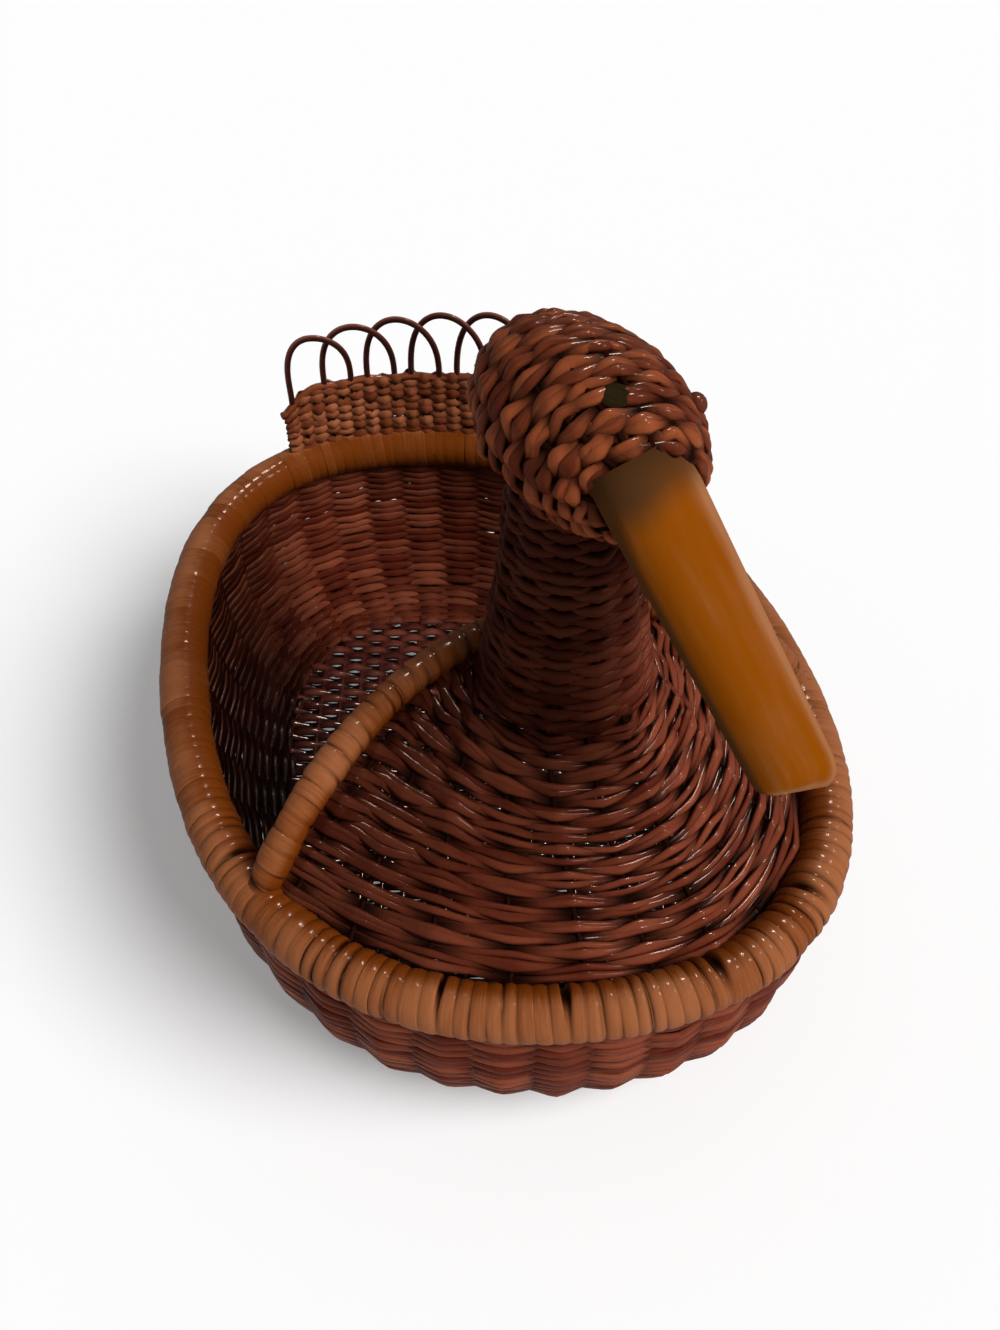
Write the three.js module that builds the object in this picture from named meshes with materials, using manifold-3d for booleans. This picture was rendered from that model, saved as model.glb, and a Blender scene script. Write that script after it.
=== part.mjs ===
// A duck-shaped wicker basket: an oval woven bowl with a cane-bound rim, a woven breast that
// narrows into a neck and a head with a wooden bill, and a low woven tail topped with loops.
// Millimetres, +Z up. The duck faces -Y, its left side is +X, and the origin is the middle
// of the underside of the base.
import * as THREE from "three";
import { mergeVertices } from "three/addons/utils/BufferGeometryUtils.js";
import Module from "manifold-3d";

const degrees = THREE.MathUtils.degToRad;

// Clearance between touching pieces
const GAP = 0.3;

// Rim oval: half sizes of the hoop's centre line, and its handmade egg shape, corners and turn
const RIM_HALF_LENGTH = 100.5;
const RIM_HALF_WIDTH = 75;
const RIM_HEIGHT = 58;
const RIM_EGG = 0.044;
const RIM_CORNER = 0.0235;
const RIM_CORNER_PHASE = degrees(64.5);
const RIM_TURN = degrees(5);
const RIM_HOOP_RADIUS = 3.6;
const RIM_WRAP_THICKNESS = 2.1;
const RIM_WRAP_TURNS = 130;
const RIM_WRAP_END_GAP = 0.8;
const WRAP_GROOVE = 0.6;

// Bowl: a woven wall over an oval base, on spokes that run from rim to rim under the base
const BASE_INSET = 22;
const BASE_THICKNESS = 6.4;
const WALL_THICKNESS = 5.6;
const WALL_TOP_INSET = 0.5;
const WALL_TOP_DROP = 0.7;
const WALL_FOOT_REACH = 17;
const WALL_BELLY_REACH = 26;
const WALL_BELLY_BULGE = 6;
const WALL_FOOT_SHARE = 0.42;
const WALL_WAVE = 0.8;
const SPOKE_RADIUS = 0.9;
const SPOKE_LAYER = 1.28;
const LONG_SPOKES = 7;
const SHORT_SPOKES = 13;
const SPOKE_TIP_DEPTH = 2;
const SPOKE_BASE_EDGE = 6;
const SPOKE_LAYER_SHARE = 0.12;
const SPOKE_BEND_SHARES = [0.72, 0.46, 0.22, 0.06];

// Breast, neck and the arch behind them
const NECK_X = 10;
const NECK_Y = -30;
const NECK_FOOT_RADIUS = 20;
const NECK_WAIST_RADIUS = 16.5;
const NECK_TOP_RADIUS = 14;
const NECK_WALL = 4;
const NECK_SEAT = 12.6;
const BREAST_THICKNESS = 4;
const BREAST_TURN = degrees(160);
const BREAST_ARCH_SHARE = 0.93;
const BREAST_FOOT_REACH = 24;
const BREAST_FOOT_RISE = 8;
const BREAST_NECK_FLARE = 5;
const BREAST_NECK_DROP = 17;
const BREAST_RIBS = 6.25;
const BREAST_FIRST_RIB = 0.08;
const BREAST_RIB_RISE = 1.6;
const ARCH_FOOT_ANGLE = degrees(66);
const ARCH_TOP = 85;
const ARCH_FOOT_RISE = 22;
const ARCH_FOOT_LEAN = 8;
const ARCH_TOP_REACH = 40;
const ARCH_HOOP_RADIUS = 2.2;
const ARCH_WRAP_THICKNESS = 1.3;
const ARCH_WRAP_TURNS = 32;

// Head, bill and eyes. The head is turned to the duck's left and nods a little; the bill
// sits off its middle. An eye's turn is from the face's middle, and its rise from the level.
const HEAD_TURN = degrees(20);
const HEAD_NOD = degrees(10);
const HEAD_X = 11.3;
const HEAD_Y = -31.6;
const HEAD_HEIGHT = 151.6;
const HEAD_HALF_WIDTH = 18.5;
const HEAD_HALF_LENGTH = 26.3;
const HEAD_HALF_HEIGHT = 17.8;
const HEAD_WALL = 7;
const BILL_SLOPE = degrees(43);
const BILL_LENGTH = 57;
const BILL_ROOT_WIDTH = 20;
const BILL_TIP_WIDTH = 16;
const BILL_THICKNESS = 11;
const BILL_CROWN_SHARE = 0.62;
const BILL_SIDES = 16;
const BILL_TIP_ROUNDING = [
  { along: 0.88, wide: 1, thick: 0.9 },
  { along: 0.97, wide: 0.8, thick: 0.75 },
  { along: 1, wide: 0.45, thick: 0.5 },
];
const BILL_ROOT_REACH = 20.2;
const BILL_ROOT_SIDE = -4.4;
const BILL_ROOT_DROP = 1.6;
const TENON_WIDTH = 11;
const TENON_THICKNESS = 6;
const TENON_LENGTH = 13;
const EYE_RADIUS = 2.8;
const EYE_DOME = 1.2;
const EYE_SHOULDER_SHARE = 0.7;
const EYE_CROWN_SHARE = 1.4;
const EYE_PEG_RADIUS = 1.4;
const EYE_PEG_LENGTH = 5;
const EYE_RIGHT_TURN = degrees(-31);
const EYE_RIGHT_RISE = degrees(60);
const EYE_LEFT_TURN = degrees(46);
const EYE_LEFT_RISE = degrees(26);

// Tail: a woven panel standing on the rim, with a row of overlapping cane loops
const TAIL_ANGLE = degrees(164.7);
const TAIL_SPAN = degrees(57.5);
const TAIL_TOP = 82.7;
const TAIL_THICKNESS = 4.6;
const LOOP_COUNT = 5;
const LOOP_SPACING = degrees(10.2);
const LOOP_WIDTH = degrees(16.5);
const LOOP_TOP = 101.5;
const LOOP_TOP_FALL = 1.2;
const LOOP_RADIUS = 1.1;
const LOOP_SEAT = 13;
const LOOP_FULLNESS = 0.7;
const LOOP_CROSSING = 1.15;

// Mesh steps
const ROUND_STEPS = 40;
const WALL_FOOT_ROWS = 3;
const WALL_ROWS = 5;
const BREAST_STEPS = 25;
const BREAST_ROWS = 7;
const NECK_ROWS = 4;
const ARCH_STEPS = 28;
const LOOP_STEPS = 12;
const TAIL_ROWS = 3;
const SPOKE_SIDES = 4;
const LOOP_SIDES = 6;
const ROOM_SIDES = 12;
const RIB_SIDES = 6;

const wasm = await Module();
wasm.setup();

const RIM_RADIUS = RIM_HOOP_RADIUS + GAP + RIM_WRAP_THICKNESS;
const WALL_TOP = RIM_HEIGHT - RIM_RADIUS - WALL_TOP_DROP;
const ARCH_RADIUS = ARCH_HOOP_RADIUS + GAP + ARCH_WRAP_THICKNESS;
const UP = new THREE.Vector3(0, 0, 1);
const FACING = new THREE.Vector3(Math.sin(HEAD_TURN), -Math.cos(HEAD_TURN), 0);

// Solids

function geometryFrom(positions, indices) {
  const geometry = new THREE.BufferGeometry();
  geometry.setAttribute("position", new THREE.Float32BufferAttribute(positions, 3));
  geometry.setIndex(indices);
  return geometry;
}

function solid(geometry) {
  const bare = geometry.clone();
  bare.deleteAttribute("normal");
  bare.deleteAttribute("uv");
  const merged = mergeVertices(bare, 1e-4);
  return new wasm.Manifold(new wasm.Mesh({
    numProp: 3,
    vertProperties: new Float32Array(merged.attributes.position.array),
    triVerts: new Uint32Array(merged.index.array),
  }));
}

function geometryOf(manifold) {
  const mesh = manifold.getMesh();
  const positions = [];
  for (let i = 0; i < mesh.numVert; i += 1) {
    const at = i * mesh.numProp;
    positions.push(mesh.vertProperties[at], mesh.vertProperties[at + 1], mesh.vertProperties[at + 2]);
  }
  return geometryFrom(positions, Array.from(mesh.triVerts));
}

function cutBy(geometry, cutters) {
  return geometryOf(cutters.reduce((left, cutter) => left.subtract(solid(cutter)), solid(geometry)));
}

// Joins rings of equal length into a skin. Each ring runs counter-clockwise seen from the
// next ring's side, so that the skin faces out.
function skinFaces(rings, size, start, wraps) {
  const faces = [];
  const last = wraps ? rings : rings - 1;
  for (let ring = 0; ring < last; ring += 1) {
    for (let i = 0; i < size; i += 1) {
      const a = start + ring * size + i;
      const b = start + ring * size + ((i + 1) % size);
      const c = start + ((ring + 1) % rings) * size + i;
      const d = start + ((ring + 1) % rings) * size + ((i + 1) % size);
      faces.push(a, b, d, a, d, c);
    }
  }
  return faces;
}

function fanFaces(first, size, facesBack) {
  const faces = [];
  for (let i = 1; i < size - 1; i += 1) {
    faces.push(...(facesBack ? [first, first + i + 1, first + i] : [first, first + i, first + i + 1]));
  }
  return faces;
}

// A closed body through rings of points, capped at both ends.
function loft(rings) {
  const size = rings[0].length;
  const positions = rings.flat().flatMap((point) => point.toArray());
  const indices = [
    ...skinFaces(rings.length, size, 0, false),
    ...fanFaces(0, size, true),
    ...fanFaces((rings.length - 1) * size, size, false),
  ];
  return geometryFrom(positions, indices);
}

// Directions across a path at each of its points, carried along without twisting.
function framesAlong(points, closed) {
  const count = points.length;
  const tangents = points.map((point, i) => {
    const before = closed ? points[(i + count - 1) % count] : points[Math.max(i - 1, 0)];
    const after = closed ? points[(i + 1) % count] : points[Math.min(i + 1, count - 1)];
    return after.clone().sub(before).normalize();
  });
  const helper = Math.abs(tangents[0].z) < 0.8 ? UP : new THREE.Vector3(0, 1, 0);
  let side = new THREE.Vector3().crossVectors(helper, tangents[0]).normalize();
  return tangents.map((tangent) => {
    side = side.clone().addScaledVector(tangent, -side.dot(tangent)).normalize();
    return { side, over: new THREE.Vector3().crossVectors(tangent, side) };
  });
}

function ringAt(point, frame, radius, sides) {
  return Array.from({ length: sides }, (_, i) => {
    const angle = (2 * Math.PI * i) / sides;
    return point.clone()
      .addScaledVector(frame.side, radius * Math.cos(angle))
      .addScaledVector(frame.over, radius * Math.sin(angle));
  });
}

function rod(points, radius, sides) {
  const frames = framesAlong(points, false);
  return loft(points.map((point, i) => ringAt(point, frames[i], radius, sides)));
}

function hoop(points, radius, sides) {
  const frames = framesAlong(points, true);
  const rings = points.map((point, i) => ringAt(point, frames[i], radius, sides));
  const positions = rings.flat().flatMap((point) => point.toArray());
  return geometryFrom(positions, skinFaces(rings.length, sides, 0, true));
}

// A cane binding as a ribbed sleeve: one rib for each turn, with a plain bore, open at both ends.
function boundSleeve(pathAt, turns, boreRings, boreRadius, outerRadius) {
  const outer = [];
  const bore = [];
  for (let turn = 0; turn < turns; turn += 1) {
    outer.push({ share: turn / turns, radius: outerRadius - WRAP_GROOVE });
    outer.push({ share: (turn + 0.5) / turns, radius: outerRadius });
  }
  outer.push({ share: 1, radius: outerRadius - WRAP_GROOVE });
  for (let ring = boreRings; ring >= 0; ring -= 1) {
    bore.push({ share: ring / boreRings, radius: boreRadius });
  }
  const stations = [...outer, ...bore];
  const outerFrames = framesAlong(outer.map((station) => pathAt(station.share)), false);
  const boreFrames = framesAlong(bore.map((station) => pathAt(station.share)).reverse(), false).reverse();
  const frames = [...outerFrames, ...boreFrames];
  const rings = stations.map((station, i) => (
    ringAt(pathAt(station.share), frames[i], station.radius, RIB_SIDES)));
  const positions = rings.flat().flatMap((point) => point.toArray());
  return geometryFrom(positions, skinFaces(rings.length, RIB_SIDES, 0, true));
}

// A sheet of even thickness about a surface, raised by liftAt at each column and row of its mesh.
// It closes on itself round u where it wraps.
function sheet(surfaceAt, thickness, uSteps, vSteps, wraps, liftAt = () => 0) {
  const nudge = 1e-3;
  const columns = wraps ? uSteps : uSteps + 1;
  const rings = [];
  for (let column = 0; column < columns; column += 1) {
    const u = column / uSteps;
    const outer = [];
    const inner = [];
    for (let row = 0; row <= vSteps; row += 1) {
      const v = row / vSteps;
      const point = surfaceAt(u, v);
      const alongU = surfaceAt(u + nudge, v).sub(surfaceAt(u - nudge, v));
      const alongV = surfaceAt(u, v + nudge).sub(surfaceAt(u, v - nudge));
      const normal = alongU.cross(alongV).normalize();
      point.addScaledVector(normal, liftAt(column, row));
      outer.push(point.clone().addScaledVector(normal, thickness / 2));
      inner.unshift(point.clone().addScaledVector(normal, -thickness / 2));
    }
    rings.push([...outer, ...inner].reverse());
  }
  if (!wraps) {
    return stripCapped(rings, vSteps + 1);
  }
  const positions = rings.flat().flatMap((point) => point.toArray());
  return geometryFrom(positions, skinFaces(rings.length, rings[0].length, 0, true));
}

// Closes the two ends of an open sheet with strips between its faces.
function stripCapped(rings, rows) {
  const size = rings[0].length;
  const positions = rings.flat().flatMap((point) => point.toArray());
  const indices = skinFaces(rings.length, size, 0, false);
  const lastRing = (rings.length - 1) * size;
  for (let row = 0; row < rows - 1; row += 1) {
    const a = row;
    const b = row + 1;
    const c = size - 1 - row;
    const d = size - 2 - row;
    indices.push(a, d, b, a, c, d);
    indices.push(lastRing + a, lastRing + b, lastRing + d, lastRing + a, lastRing + d, lastRing + c);
  }
  return geometryFrom(positions, indices);
}

// Curves of the basket

function ovalAt(angle, inset, height) {
  const fullness = 1 - RIM_CORNER * Math.cos(4 * angle + RIM_CORNER_PHASE);
  const x = (RIM_HALF_WIDTH - inset) * fullness * Math.sin(angle) * (1 + RIM_EGG * Math.cos(angle));
  const y = -(RIM_HALF_LENGTH - inset) * fullness * Math.cos(angle);
  return new THREE.Vector3(x, y, height).applyAxisAngle(UP, RIM_TURN);
}

function roundSteps(count) {
  return Array.from({ length: count }, (_, i) => (2 * Math.PI * i) / count);
}

const wallProfile = new THREE.CubicBezierCurve(
  new THREE.Vector2(BASE_INSET, BASE_THICKNESS / 2),
  new THREE.Vector2(BASE_INSET - WALL_FOOT_REACH, BASE_THICKNESS / 2),
  new THREE.Vector2(WALL_TOP_INSET - WALL_BELLY_BULGE, WALL_TOP - WALL_BELLY_REACH),
  new THREE.Vector2(WALL_TOP_INSET, WALL_TOP),
);

function wallAt(angle, share) {
  const at = wallProfile.getPoint(share);
  return ovalAt(angle, at.x, at.y);
}

function rimAt(share) {
  return ovalAt(TAIL_ANGLE + 2 * Math.PI * share, 0, RIM_HEIGHT);
}

const archTop = new THREE.Vector3(NECK_X, NECK_Y + NECK_FOOT_RADIUS - NECK_WALL / 2, ARCH_TOP);

function archHalf(side) {
  const foot = ovalAt(side * ARCH_FOOT_ANGLE, 0, RIM_HEIGHT);
  const footHandle = foot.clone().add(new THREE.Vector3(-side * ARCH_FOOT_LEAN, 0, ARCH_FOOT_RISE));
  const topHandle = archTop.clone().add(new THREE.Vector3(side * ARCH_TOP_REACH, 0, 0));
  return new THREE.CubicBezierCurve3(foot, footHandle, topHandle, archTop.clone());
}

const archHalves = { left: archHalf(1), right: archHalf(-1) };
const archCurve = new THREE.CurvePath();
archCurve.add(archHalves.right);
archCurve.add(new THREE.CubicBezierCurve3(
  archHalves.left.v3, archHalves.left.v2, archHalves.left.v1, archHalves.left.v0));

// Room that a bound tube takes up, with clearance
function archRoom() {
  return rod(archCurve.getSpacedPoints(ARCH_STEPS), ARCH_RADIUS + 2 * GAP, ROOM_SIDES);
}

function rimRoom() {
  const points = roundSteps(ROUND_STEPS).map((angle) => ovalAt(angle, 0, RIM_HEIGHT));
  return hoop(points, RIM_RADIUS + 2 * GAP, ROOM_SIDES);
}

function rimHoop() {
  const points = roundSteps(ROUND_STEPS).map((angle) => rimAt(angle / (2 * Math.PI)));
  return hoop(points, RIM_HOOP_RADIUS, RIB_SIDES);
}

function rimWrap() {
  const endShare = RIM_WRAP_END_GAP / (RIM_HALF_LENGTH + RIM_HALF_WIDTH) / (2 * Math.PI);
  const pathAt = (share) => rimAt(endShare + share * (1 - 2 * endShare));
  return boundSleeve(pathAt, RIM_WRAP_TURNS, ROUND_STEPS, RIM_HOOP_RADIUS + GAP, RIM_RADIUS);
}

function archHoop() {
  return cutBy(rod(archCurve.getSpacedPoints(ARCH_STEPS), ARCH_HOOP_RADIUS, RIB_SIDES), [rimRoom()]);
}

function archWrap() {
  const pathAt = (share) => archCurve.getPointAt(share);
  const sleeve = boundSleeve(
    pathAt, ARCH_WRAP_TURNS, ARCH_STEPS, ARCH_HOOP_RADIUS + GAP, ARCH_RADIUS);
  return cutBy(sleeve, [rimRoom()]);
}

// Spokes: the long ones cross the base lengthwise below, the short ones crosswise above

const STAKES = 2 * (LONG_SPOKES + SHORT_SPOKES);
const STAKE_STEP = (2 * Math.PI) / STAKES;

function spokeEnds() {
  const reach = (LONG_SPOKES - 1) / 2;
  const ends = [];
  for (let place = -reach; place <= reach; place += 1) {
    ends.push({ from: place * STAKE_STEP, to: Math.PI - place * STAKE_STEP, layer: -SPOKE_LAYER });
  }
  for (let place = 0; place < SHORT_SPOKES; place += 1) {
    const angle = (reach + 1 + place) * STAKE_STEP;
    ends.push({ from: -angle, to: angle, layer: SPOKE_LAYER });
  }
  return ends;
}

function spokePath({ from, to, layer }, tipDepth) {
  const tipShare = 1 - tipDepth / (3 * WALL_BELLY_REACH);
  const sideOf = (angle) => [tipShare, ...SPOKE_BEND_SHARES].map((share) => (
    wallAt(angle, share).addScaledVector(UP, layer * Math.max(0, 1 - share / SPOKE_LAYER_SHARE))));
  const start = wallAt(from, 0);
  const end = wallAt(to, 0);
  const across = end.clone().sub(start).normalize();
  start.addScaledVector(across, SPOKE_BASE_EDGE).addScaledVector(UP, layer);
  end.addScaledVector(across, -SPOKE_BASE_EDGE).addScaledVector(UP, layer);
  return [...sideOf(from), start, end, ...sideOf(to).reverse()];
}

function spoke(ends) {
  return rod(spokePath(ends, SPOKE_TIP_DEPTH + GAP), SPOKE_RADIUS, SPOKE_SIDES);
}

function spokeBores() {
  return spokeEnds().map((ends) => (
    rod(spokePath(ends, SPOKE_TIP_DEPTH), SPOKE_RADIUS + GAP, SPOKE_SIDES)));
}

// A band of the bowl's side between two shares of its height. Its rows pass outside one stake and
// inside the next, and the rows above them pass the other way. The edge at the base is level.
function wallBand(low, high, rowsBelow, rows) {
  const surface = (u, v) => wallAt(2 * Math.PI * u, low + (high - low) * v);
  const waveAt = (stake, row) => {
    const number = rowsBelow + row;
    const way = (stake + number) % 2 === 0 ? 1 : -1;
    return number === 0 ? 0 : way * WALL_WAVE;
  };
  return cutBy(sheet(surface, WALL_THICKNESS, STAKES, rows, true, waveAt), spokeBores());
}

function wallFoot() {
  return wallBand(0, WALL_FOOT_SHARE - GAP / RIM_HEIGHT / 2, 0, WALL_FOOT_ROWS);
}

function bodyWall() {
  return wallBand(WALL_FOOT_SHARE + GAP / RIM_HEIGHT / 2, 1, WALL_FOOT_ROWS, WALL_ROWS);
}

function baseWeave() {
  const outline = new THREE.Shape(roundSteps(ROUND_STEPS).map((angle) => {
    const at = ovalAt(angle, BASE_INSET + GAP, 0);
    return new THREE.Vector2(at.x, at.y);
  }));
  const slab = new THREE.ExtrudeGeometry(outline, { depth: BASE_THICKNESS, bevelEnabled: false });
  return cutBy(slab, spokeBores());
}

// Breast: from the rim's front, between the arch's two halves, up to the foot of the neck

const NECK_FOOT = ARCH_TOP + ARCH_RADIUS + GAP;
const NECK_TOP = HEAD_HEIGHT - NECK_SEAT;

function breastAt(u, v) {
  const side = 2 * u - 1;
  const edge = Math.abs(side) ** 3;
  const foot = ovalAt(side * ARCH_FOOT_ANGLE, 0, RIM_HEIGHT);
  const ringAngle = side * BREAST_TURN;
  const outward = new THREE.Vector3(Math.sin(ringAngle), -Math.cos(ringAngle), 0);
  const ringRadius = NECK_FOOT_RADIUS - NECK_WALL / 2;
  const ring = new THREE.Vector3(NECK_X, NECK_Y, NECK_FOOT).addScaledVector(outward, ringRadius);
  const inward = ring.clone().sub(foot).setZ(0).normalize();
  const footHandle = foot.clone()
    .addScaledVector(inward, BREAST_FOOT_REACH)
    .addScaledVector(UP, BREAST_FOOT_RISE);
  const ringHandle = ring.clone()
    .addScaledVector(outward, BREAST_NECK_FLARE)
    .addScaledVector(UP, -BREAST_NECK_DROP);
  const middle = new THREE.CubicBezierCurve3(foot, footHandle, ringHandle, ring).getPoint(v);
  const arch = side < 0 ? archHalves.right : archHalves.left;
  return middle.lerp(arch.getPoint(v * BREAST_ARCH_SHARE), edge);
}

function neckRoom() {
  const radius = NECK_FOOT_RADIUS + NECK_WALL;
  const room = new THREE.CylinderGeometry(radius, radius, NECK_TOP - NECK_FOOT, ROUND_STEPS);
  room.rotateX(Math.PI / 2);
  room.translate(NECK_X, NECK_Y, (NECK_TOP + NECK_FOOT) / 2 - GAP);
  return room;
}

// The breast stands proud at its ribs and is drawn in between them.
function breastRise(column) {
  const bays = (column / BREAST_STEPS - BREAST_FIRST_RIB) * BREAST_RIBS;
  const fromMiddle = THREE.MathUtils.euclideanModulo(bays, 1) - 0.5;
  return -BREAST_RIB_RISE * (1 - 4 * fromMiddle ** 2);
}

function breastWeave() {
  const shell = sheet(breastAt, BREAST_THICKNESS, BREAST_STEPS, BREAST_ROWS, false, breastRise);
  return cutBy(shell, [rimRoom(), archRoom(), neckRoom()]);
}

function neckWeave() {
  const pull = 2 * NECK_WAIST_RADIUS - (NECK_FOOT_RADIUS + NECK_TOP_RADIUS) / 2;
  const side = new THREE.QuadraticBezierCurve(
    new THREE.Vector2(NECK_FOOT_RADIUS, NECK_FOOT),
    new THREE.Vector2(pull, (NECK_FOOT + NECK_TOP) / 2),
    new THREE.Vector2(NECK_TOP_RADIUS, NECK_TOP),
  );
  const outside = side.getPoints(NECK_ROWS);
  const inside = outside.map((point) => new THREE.Vector2(point.x - NECK_WALL, point.y)).reverse();
  const tube = new THREE.LatheGeometry([...outside, ...inside, outside[0].clone()], ROUND_STEPS / 2);
  tube.rotateX(Math.PI / 2);
  tube.translate(NECK_X, NECK_Y, 0);
  return tube;
}

// Head

const headCentre = new THREE.Vector3(HEAD_X, HEAD_Y, HEAD_HEIGHT);
const headAcross = new THREE.Vector3().crossVectors(UP, FACING).normalize();
const headTurn = new THREE.Quaternion().setFromAxisAngle(UP, HEAD_TURN);
const headPose = headTurn.clone().multiply(
  new THREE.Quaternion().setFromAxisAngle(new THREE.Vector3(1, 0, 0), HEAD_NOD));
const billWay = FACING.clone()
  .multiplyScalar(Math.cos(BILL_SLOPE))
  .addScaledVector(UP, -Math.sin(BILL_SLOPE));
const billRoot = headCentre.clone()
  .addScaledVector(FACING, BILL_ROOT_REACH)
  .addScaledVector(headAcross, BILL_ROOT_SIDE)
  .addScaledVector(UP, -BILL_ROOT_DROP);

function headBall(shrink) {
  const ball = new THREE.SphereGeometry(1, ROUND_STEPS / 2, ROUND_STEPS / 4);
  ball.rotateX(Math.PI / 2);
  ball.scale(HEAD_HALF_WIDTH - shrink, HEAD_HALF_LENGTH - shrink, HEAD_HALF_HEIGHT - shrink);
  ball.applyQuaternion(headPose);
  ball.translate(HEAD_X, HEAD_Y, HEAD_HEIGHT);
  return ball;
}

function neckPlug() {
  const height = (NECK_TOP - NECK_FOOT) / 2 + GAP;
  const plug = new THREE.CylinderGeometry(
    NECK_TOP_RADIUS + 2 * GAP, NECK_WAIST_RADIUS + 2 * GAP, height, ROUND_STEPS);
  plug.rotateX(Math.PI / 2);
  plug.translate(NECK_X, NECK_Y, NECK_TOP + GAP - height / 2);
  return plug;
}

function neckBore() {
  const radius = NECK_TOP_RADIUS - NECK_WALL;
  const bore = new THREE.CylinderGeometry(radius, radius, HEAD_HEIGHT - NECK_FOOT, ROUND_STEPS / 2);
  bore.rotateX(Math.PI / 2);
  bore.translate(NECK_X, NECK_Y, (HEAD_HEIGHT + NECK_FOOT) / 2);
  return bore;
}

// One cross-section of the bill: a crowned top over a flatter underside
function billSection(along, width, thickness) {
  const crown = new THREE.Vector3().crossVectors(billWay, headAcross).normalize();
  const centre = billRoot.clone().addScaledVector(billWay, along);
  return roundSteps(BILL_SIDES).map((angle) => {
    const share = Math.sin(angle) > 0 ? BILL_CROWN_SHARE : 1 - BILL_CROWN_SHARE;
    return centre.clone()
      .addScaledVector(headAcross, Math.cos(angle) * width / 2)
      .addScaledVector(crown, Math.sin(angle) * thickness * share);
  });
}

function bill(grow) {
  const size = (value) => value + 2 * grow;
  return loft([
    billSection(-TENON_LENGTH - grow, size(TENON_WIDTH), size(TENON_THICKNESS)),
    billSection(-grow, size(TENON_WIDTH), size(TENON_THICKNESS)),
    billSection(-grow, size(BILL_ROOT_WIDTH), size(BILL_THICKNESS)),
    ...BILL_TIP_ROUNDING.map(({ along, wide, thick }) => (
      billSection(BILL_LENGTH * along, size(BILL_TIP_WIDTH * wide), size(BILL_THICKNESS * thick)))),
  ]);
}

// Direction of an eye in the head's own axes, and its seat on the head
function eyeWay(turn, rise) {
  const level = Math.cos(rise);
  return new THREE.Vector3(Math.sin(turn) * level, -Math.cos(turn) * level, Math.sin(rise));
}

function eyeSeat(way) {
  const reach = 1 / Math.hypot(way.x / HEAD_HALF_WIDTH, way.y / HEAD_HALF_LENGTH, way.z / HEAD_HALF_HEIGHT);
  const seat = way.clone().multiplyScalar(reach);
  const out = new THREE.Vector3(
    seat.x / HEAD_HALF_WIDTH ** 2, seat.y / HEAD_HALF_LENGTH ** 2, seat.z / HEAD_HALF_HEIGHT ** 2);
  return {
    place: seat.applyQuaternion(headPose).add(headCentre),
    out: out.normalize().applyQuaternion(headPose),
  };
}

function eye(turn, rise, grow) {
  const profile = [
    new THREE.Vector2(0, -EYE_PEG_LENGTH - grow),
    new THREE.Vector2(EYE_PEG_RADIUS + grow, -EYE_PEG_LENGTH - grow),
    new THREE.Vector2(EYE_PEG_RADIUS + grow, -EYE_DOME - grow),
    new THREE.Vector2(EYE_RADIUS + grow, -EYE_DOME - grow),
    new THREE.Vector2(EYE_RADIUS + grow, 0),
    new THREE.Vector2(EYE_RADIUS * EYE_SHOULDER_SHARE, EYE_DOME + grow),
    new THREE.Vector2(0, EYE_DOME * EYE_CROWN_SHARE + grow),
  ];
  const seat = eyeSeat(eyeWay(turn, rise));
  const stud = new THREE.LatheGeometry(profile, ROUND_STEPS / 4);
  stud.applyQuaternion(new THREE.Quaternion().setFromUnitVectors(new THREE.Vector3(0, 1, 0), seat.out));
  stud.translate(seat.place.x, seat.place.y, seat.place.z);
  return stud;
}

const eyeLeft = (grow) => eye(EYE_LEFT_TURN, EYE_LEFT_RISE, grow);
const eyeRight = (grow) => eye(EYE_RIGHT_TURN, EYE_RIGHT_RISE, grow);

function headWeave() {
  return cutBy(headBall(0), [
    headBall(HEAD_WALL), neckPlug(), neckBore(), bill(GAP), eyeLeft(GAP), eyeRight(GAP)]);
}

// Tail

function tailAt(u, v) {
  const angle = TAIL_ANGLE + (u - 0.5) * TAIL_SPAN;
  return ovalAt(angle, 0, RIM_HEIGHT + (TAIL_TOP - RIM_HEIGHT) * v);
}

function loopAngle(number) {
  return TAIL_ANGLE + (number - (LOOP_COUNT - 1) / 2) * LOOP_SPACING;
}

function tailLoopPath(number, reach) {
  const middle = loopAngle(number);
  const rise = LOOP_TOP - TAIL_TOP - (number - (LOOP_COUNT - 1) / 2) * LOOP_TOP_FALL;
  const points = [];
  const place = (angle, height, depth) => points.push(ovalAt(angle, depth, height));
  place(middle - LOOP_WIDTH / 2, TAIL_TOP - reach, 0);
  for (let step = 0; step <= LOOP_STEPS; step += 1) {
    const bow = Math.PI * (step / LOOP_STEPS);
    const angle = middle - (LOOP_WIDTH / 2) * Math.cos(bow);
    const height = TAIL_TOP + rise * Math.sin(bow) ** LOOP_FULLNESS;
    place(angle, height, (LOOP_RADIUS + GAP) * LOOP_CROSSING * Math.sin(2 * bow));
  }
  place(middle + LOOP_WIDTH / 2, TAIL_TOP - reach, 0);
  return points;
}

function tailLoop(number) {
  return rod(tailLoopPath(number, LOOP_SEAT), LOOP_RADIUS, LOOP_SIDES);
}

function tailWeave() {
  const panel = sheet(tailAt, TAIL_THICKNESS, ROUND_STEPS / 4, TAIL_ROWS, false);
  const seats = Array.from({ length: LOOP_COUNT }, (_, i) => (
    rod(tailLoopPath(i, LOOP_SEAT + GAP), LOOP_RADIUS + GAP, LOOP_SIDES)));
  return cutBy(panel, [rimRoom(), ...seats]);
}

// Assembly

function material(color, roughness) {
  return new THREE.MeshStandardMaterial({ color, roughness, metalness: 0 });
}

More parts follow.
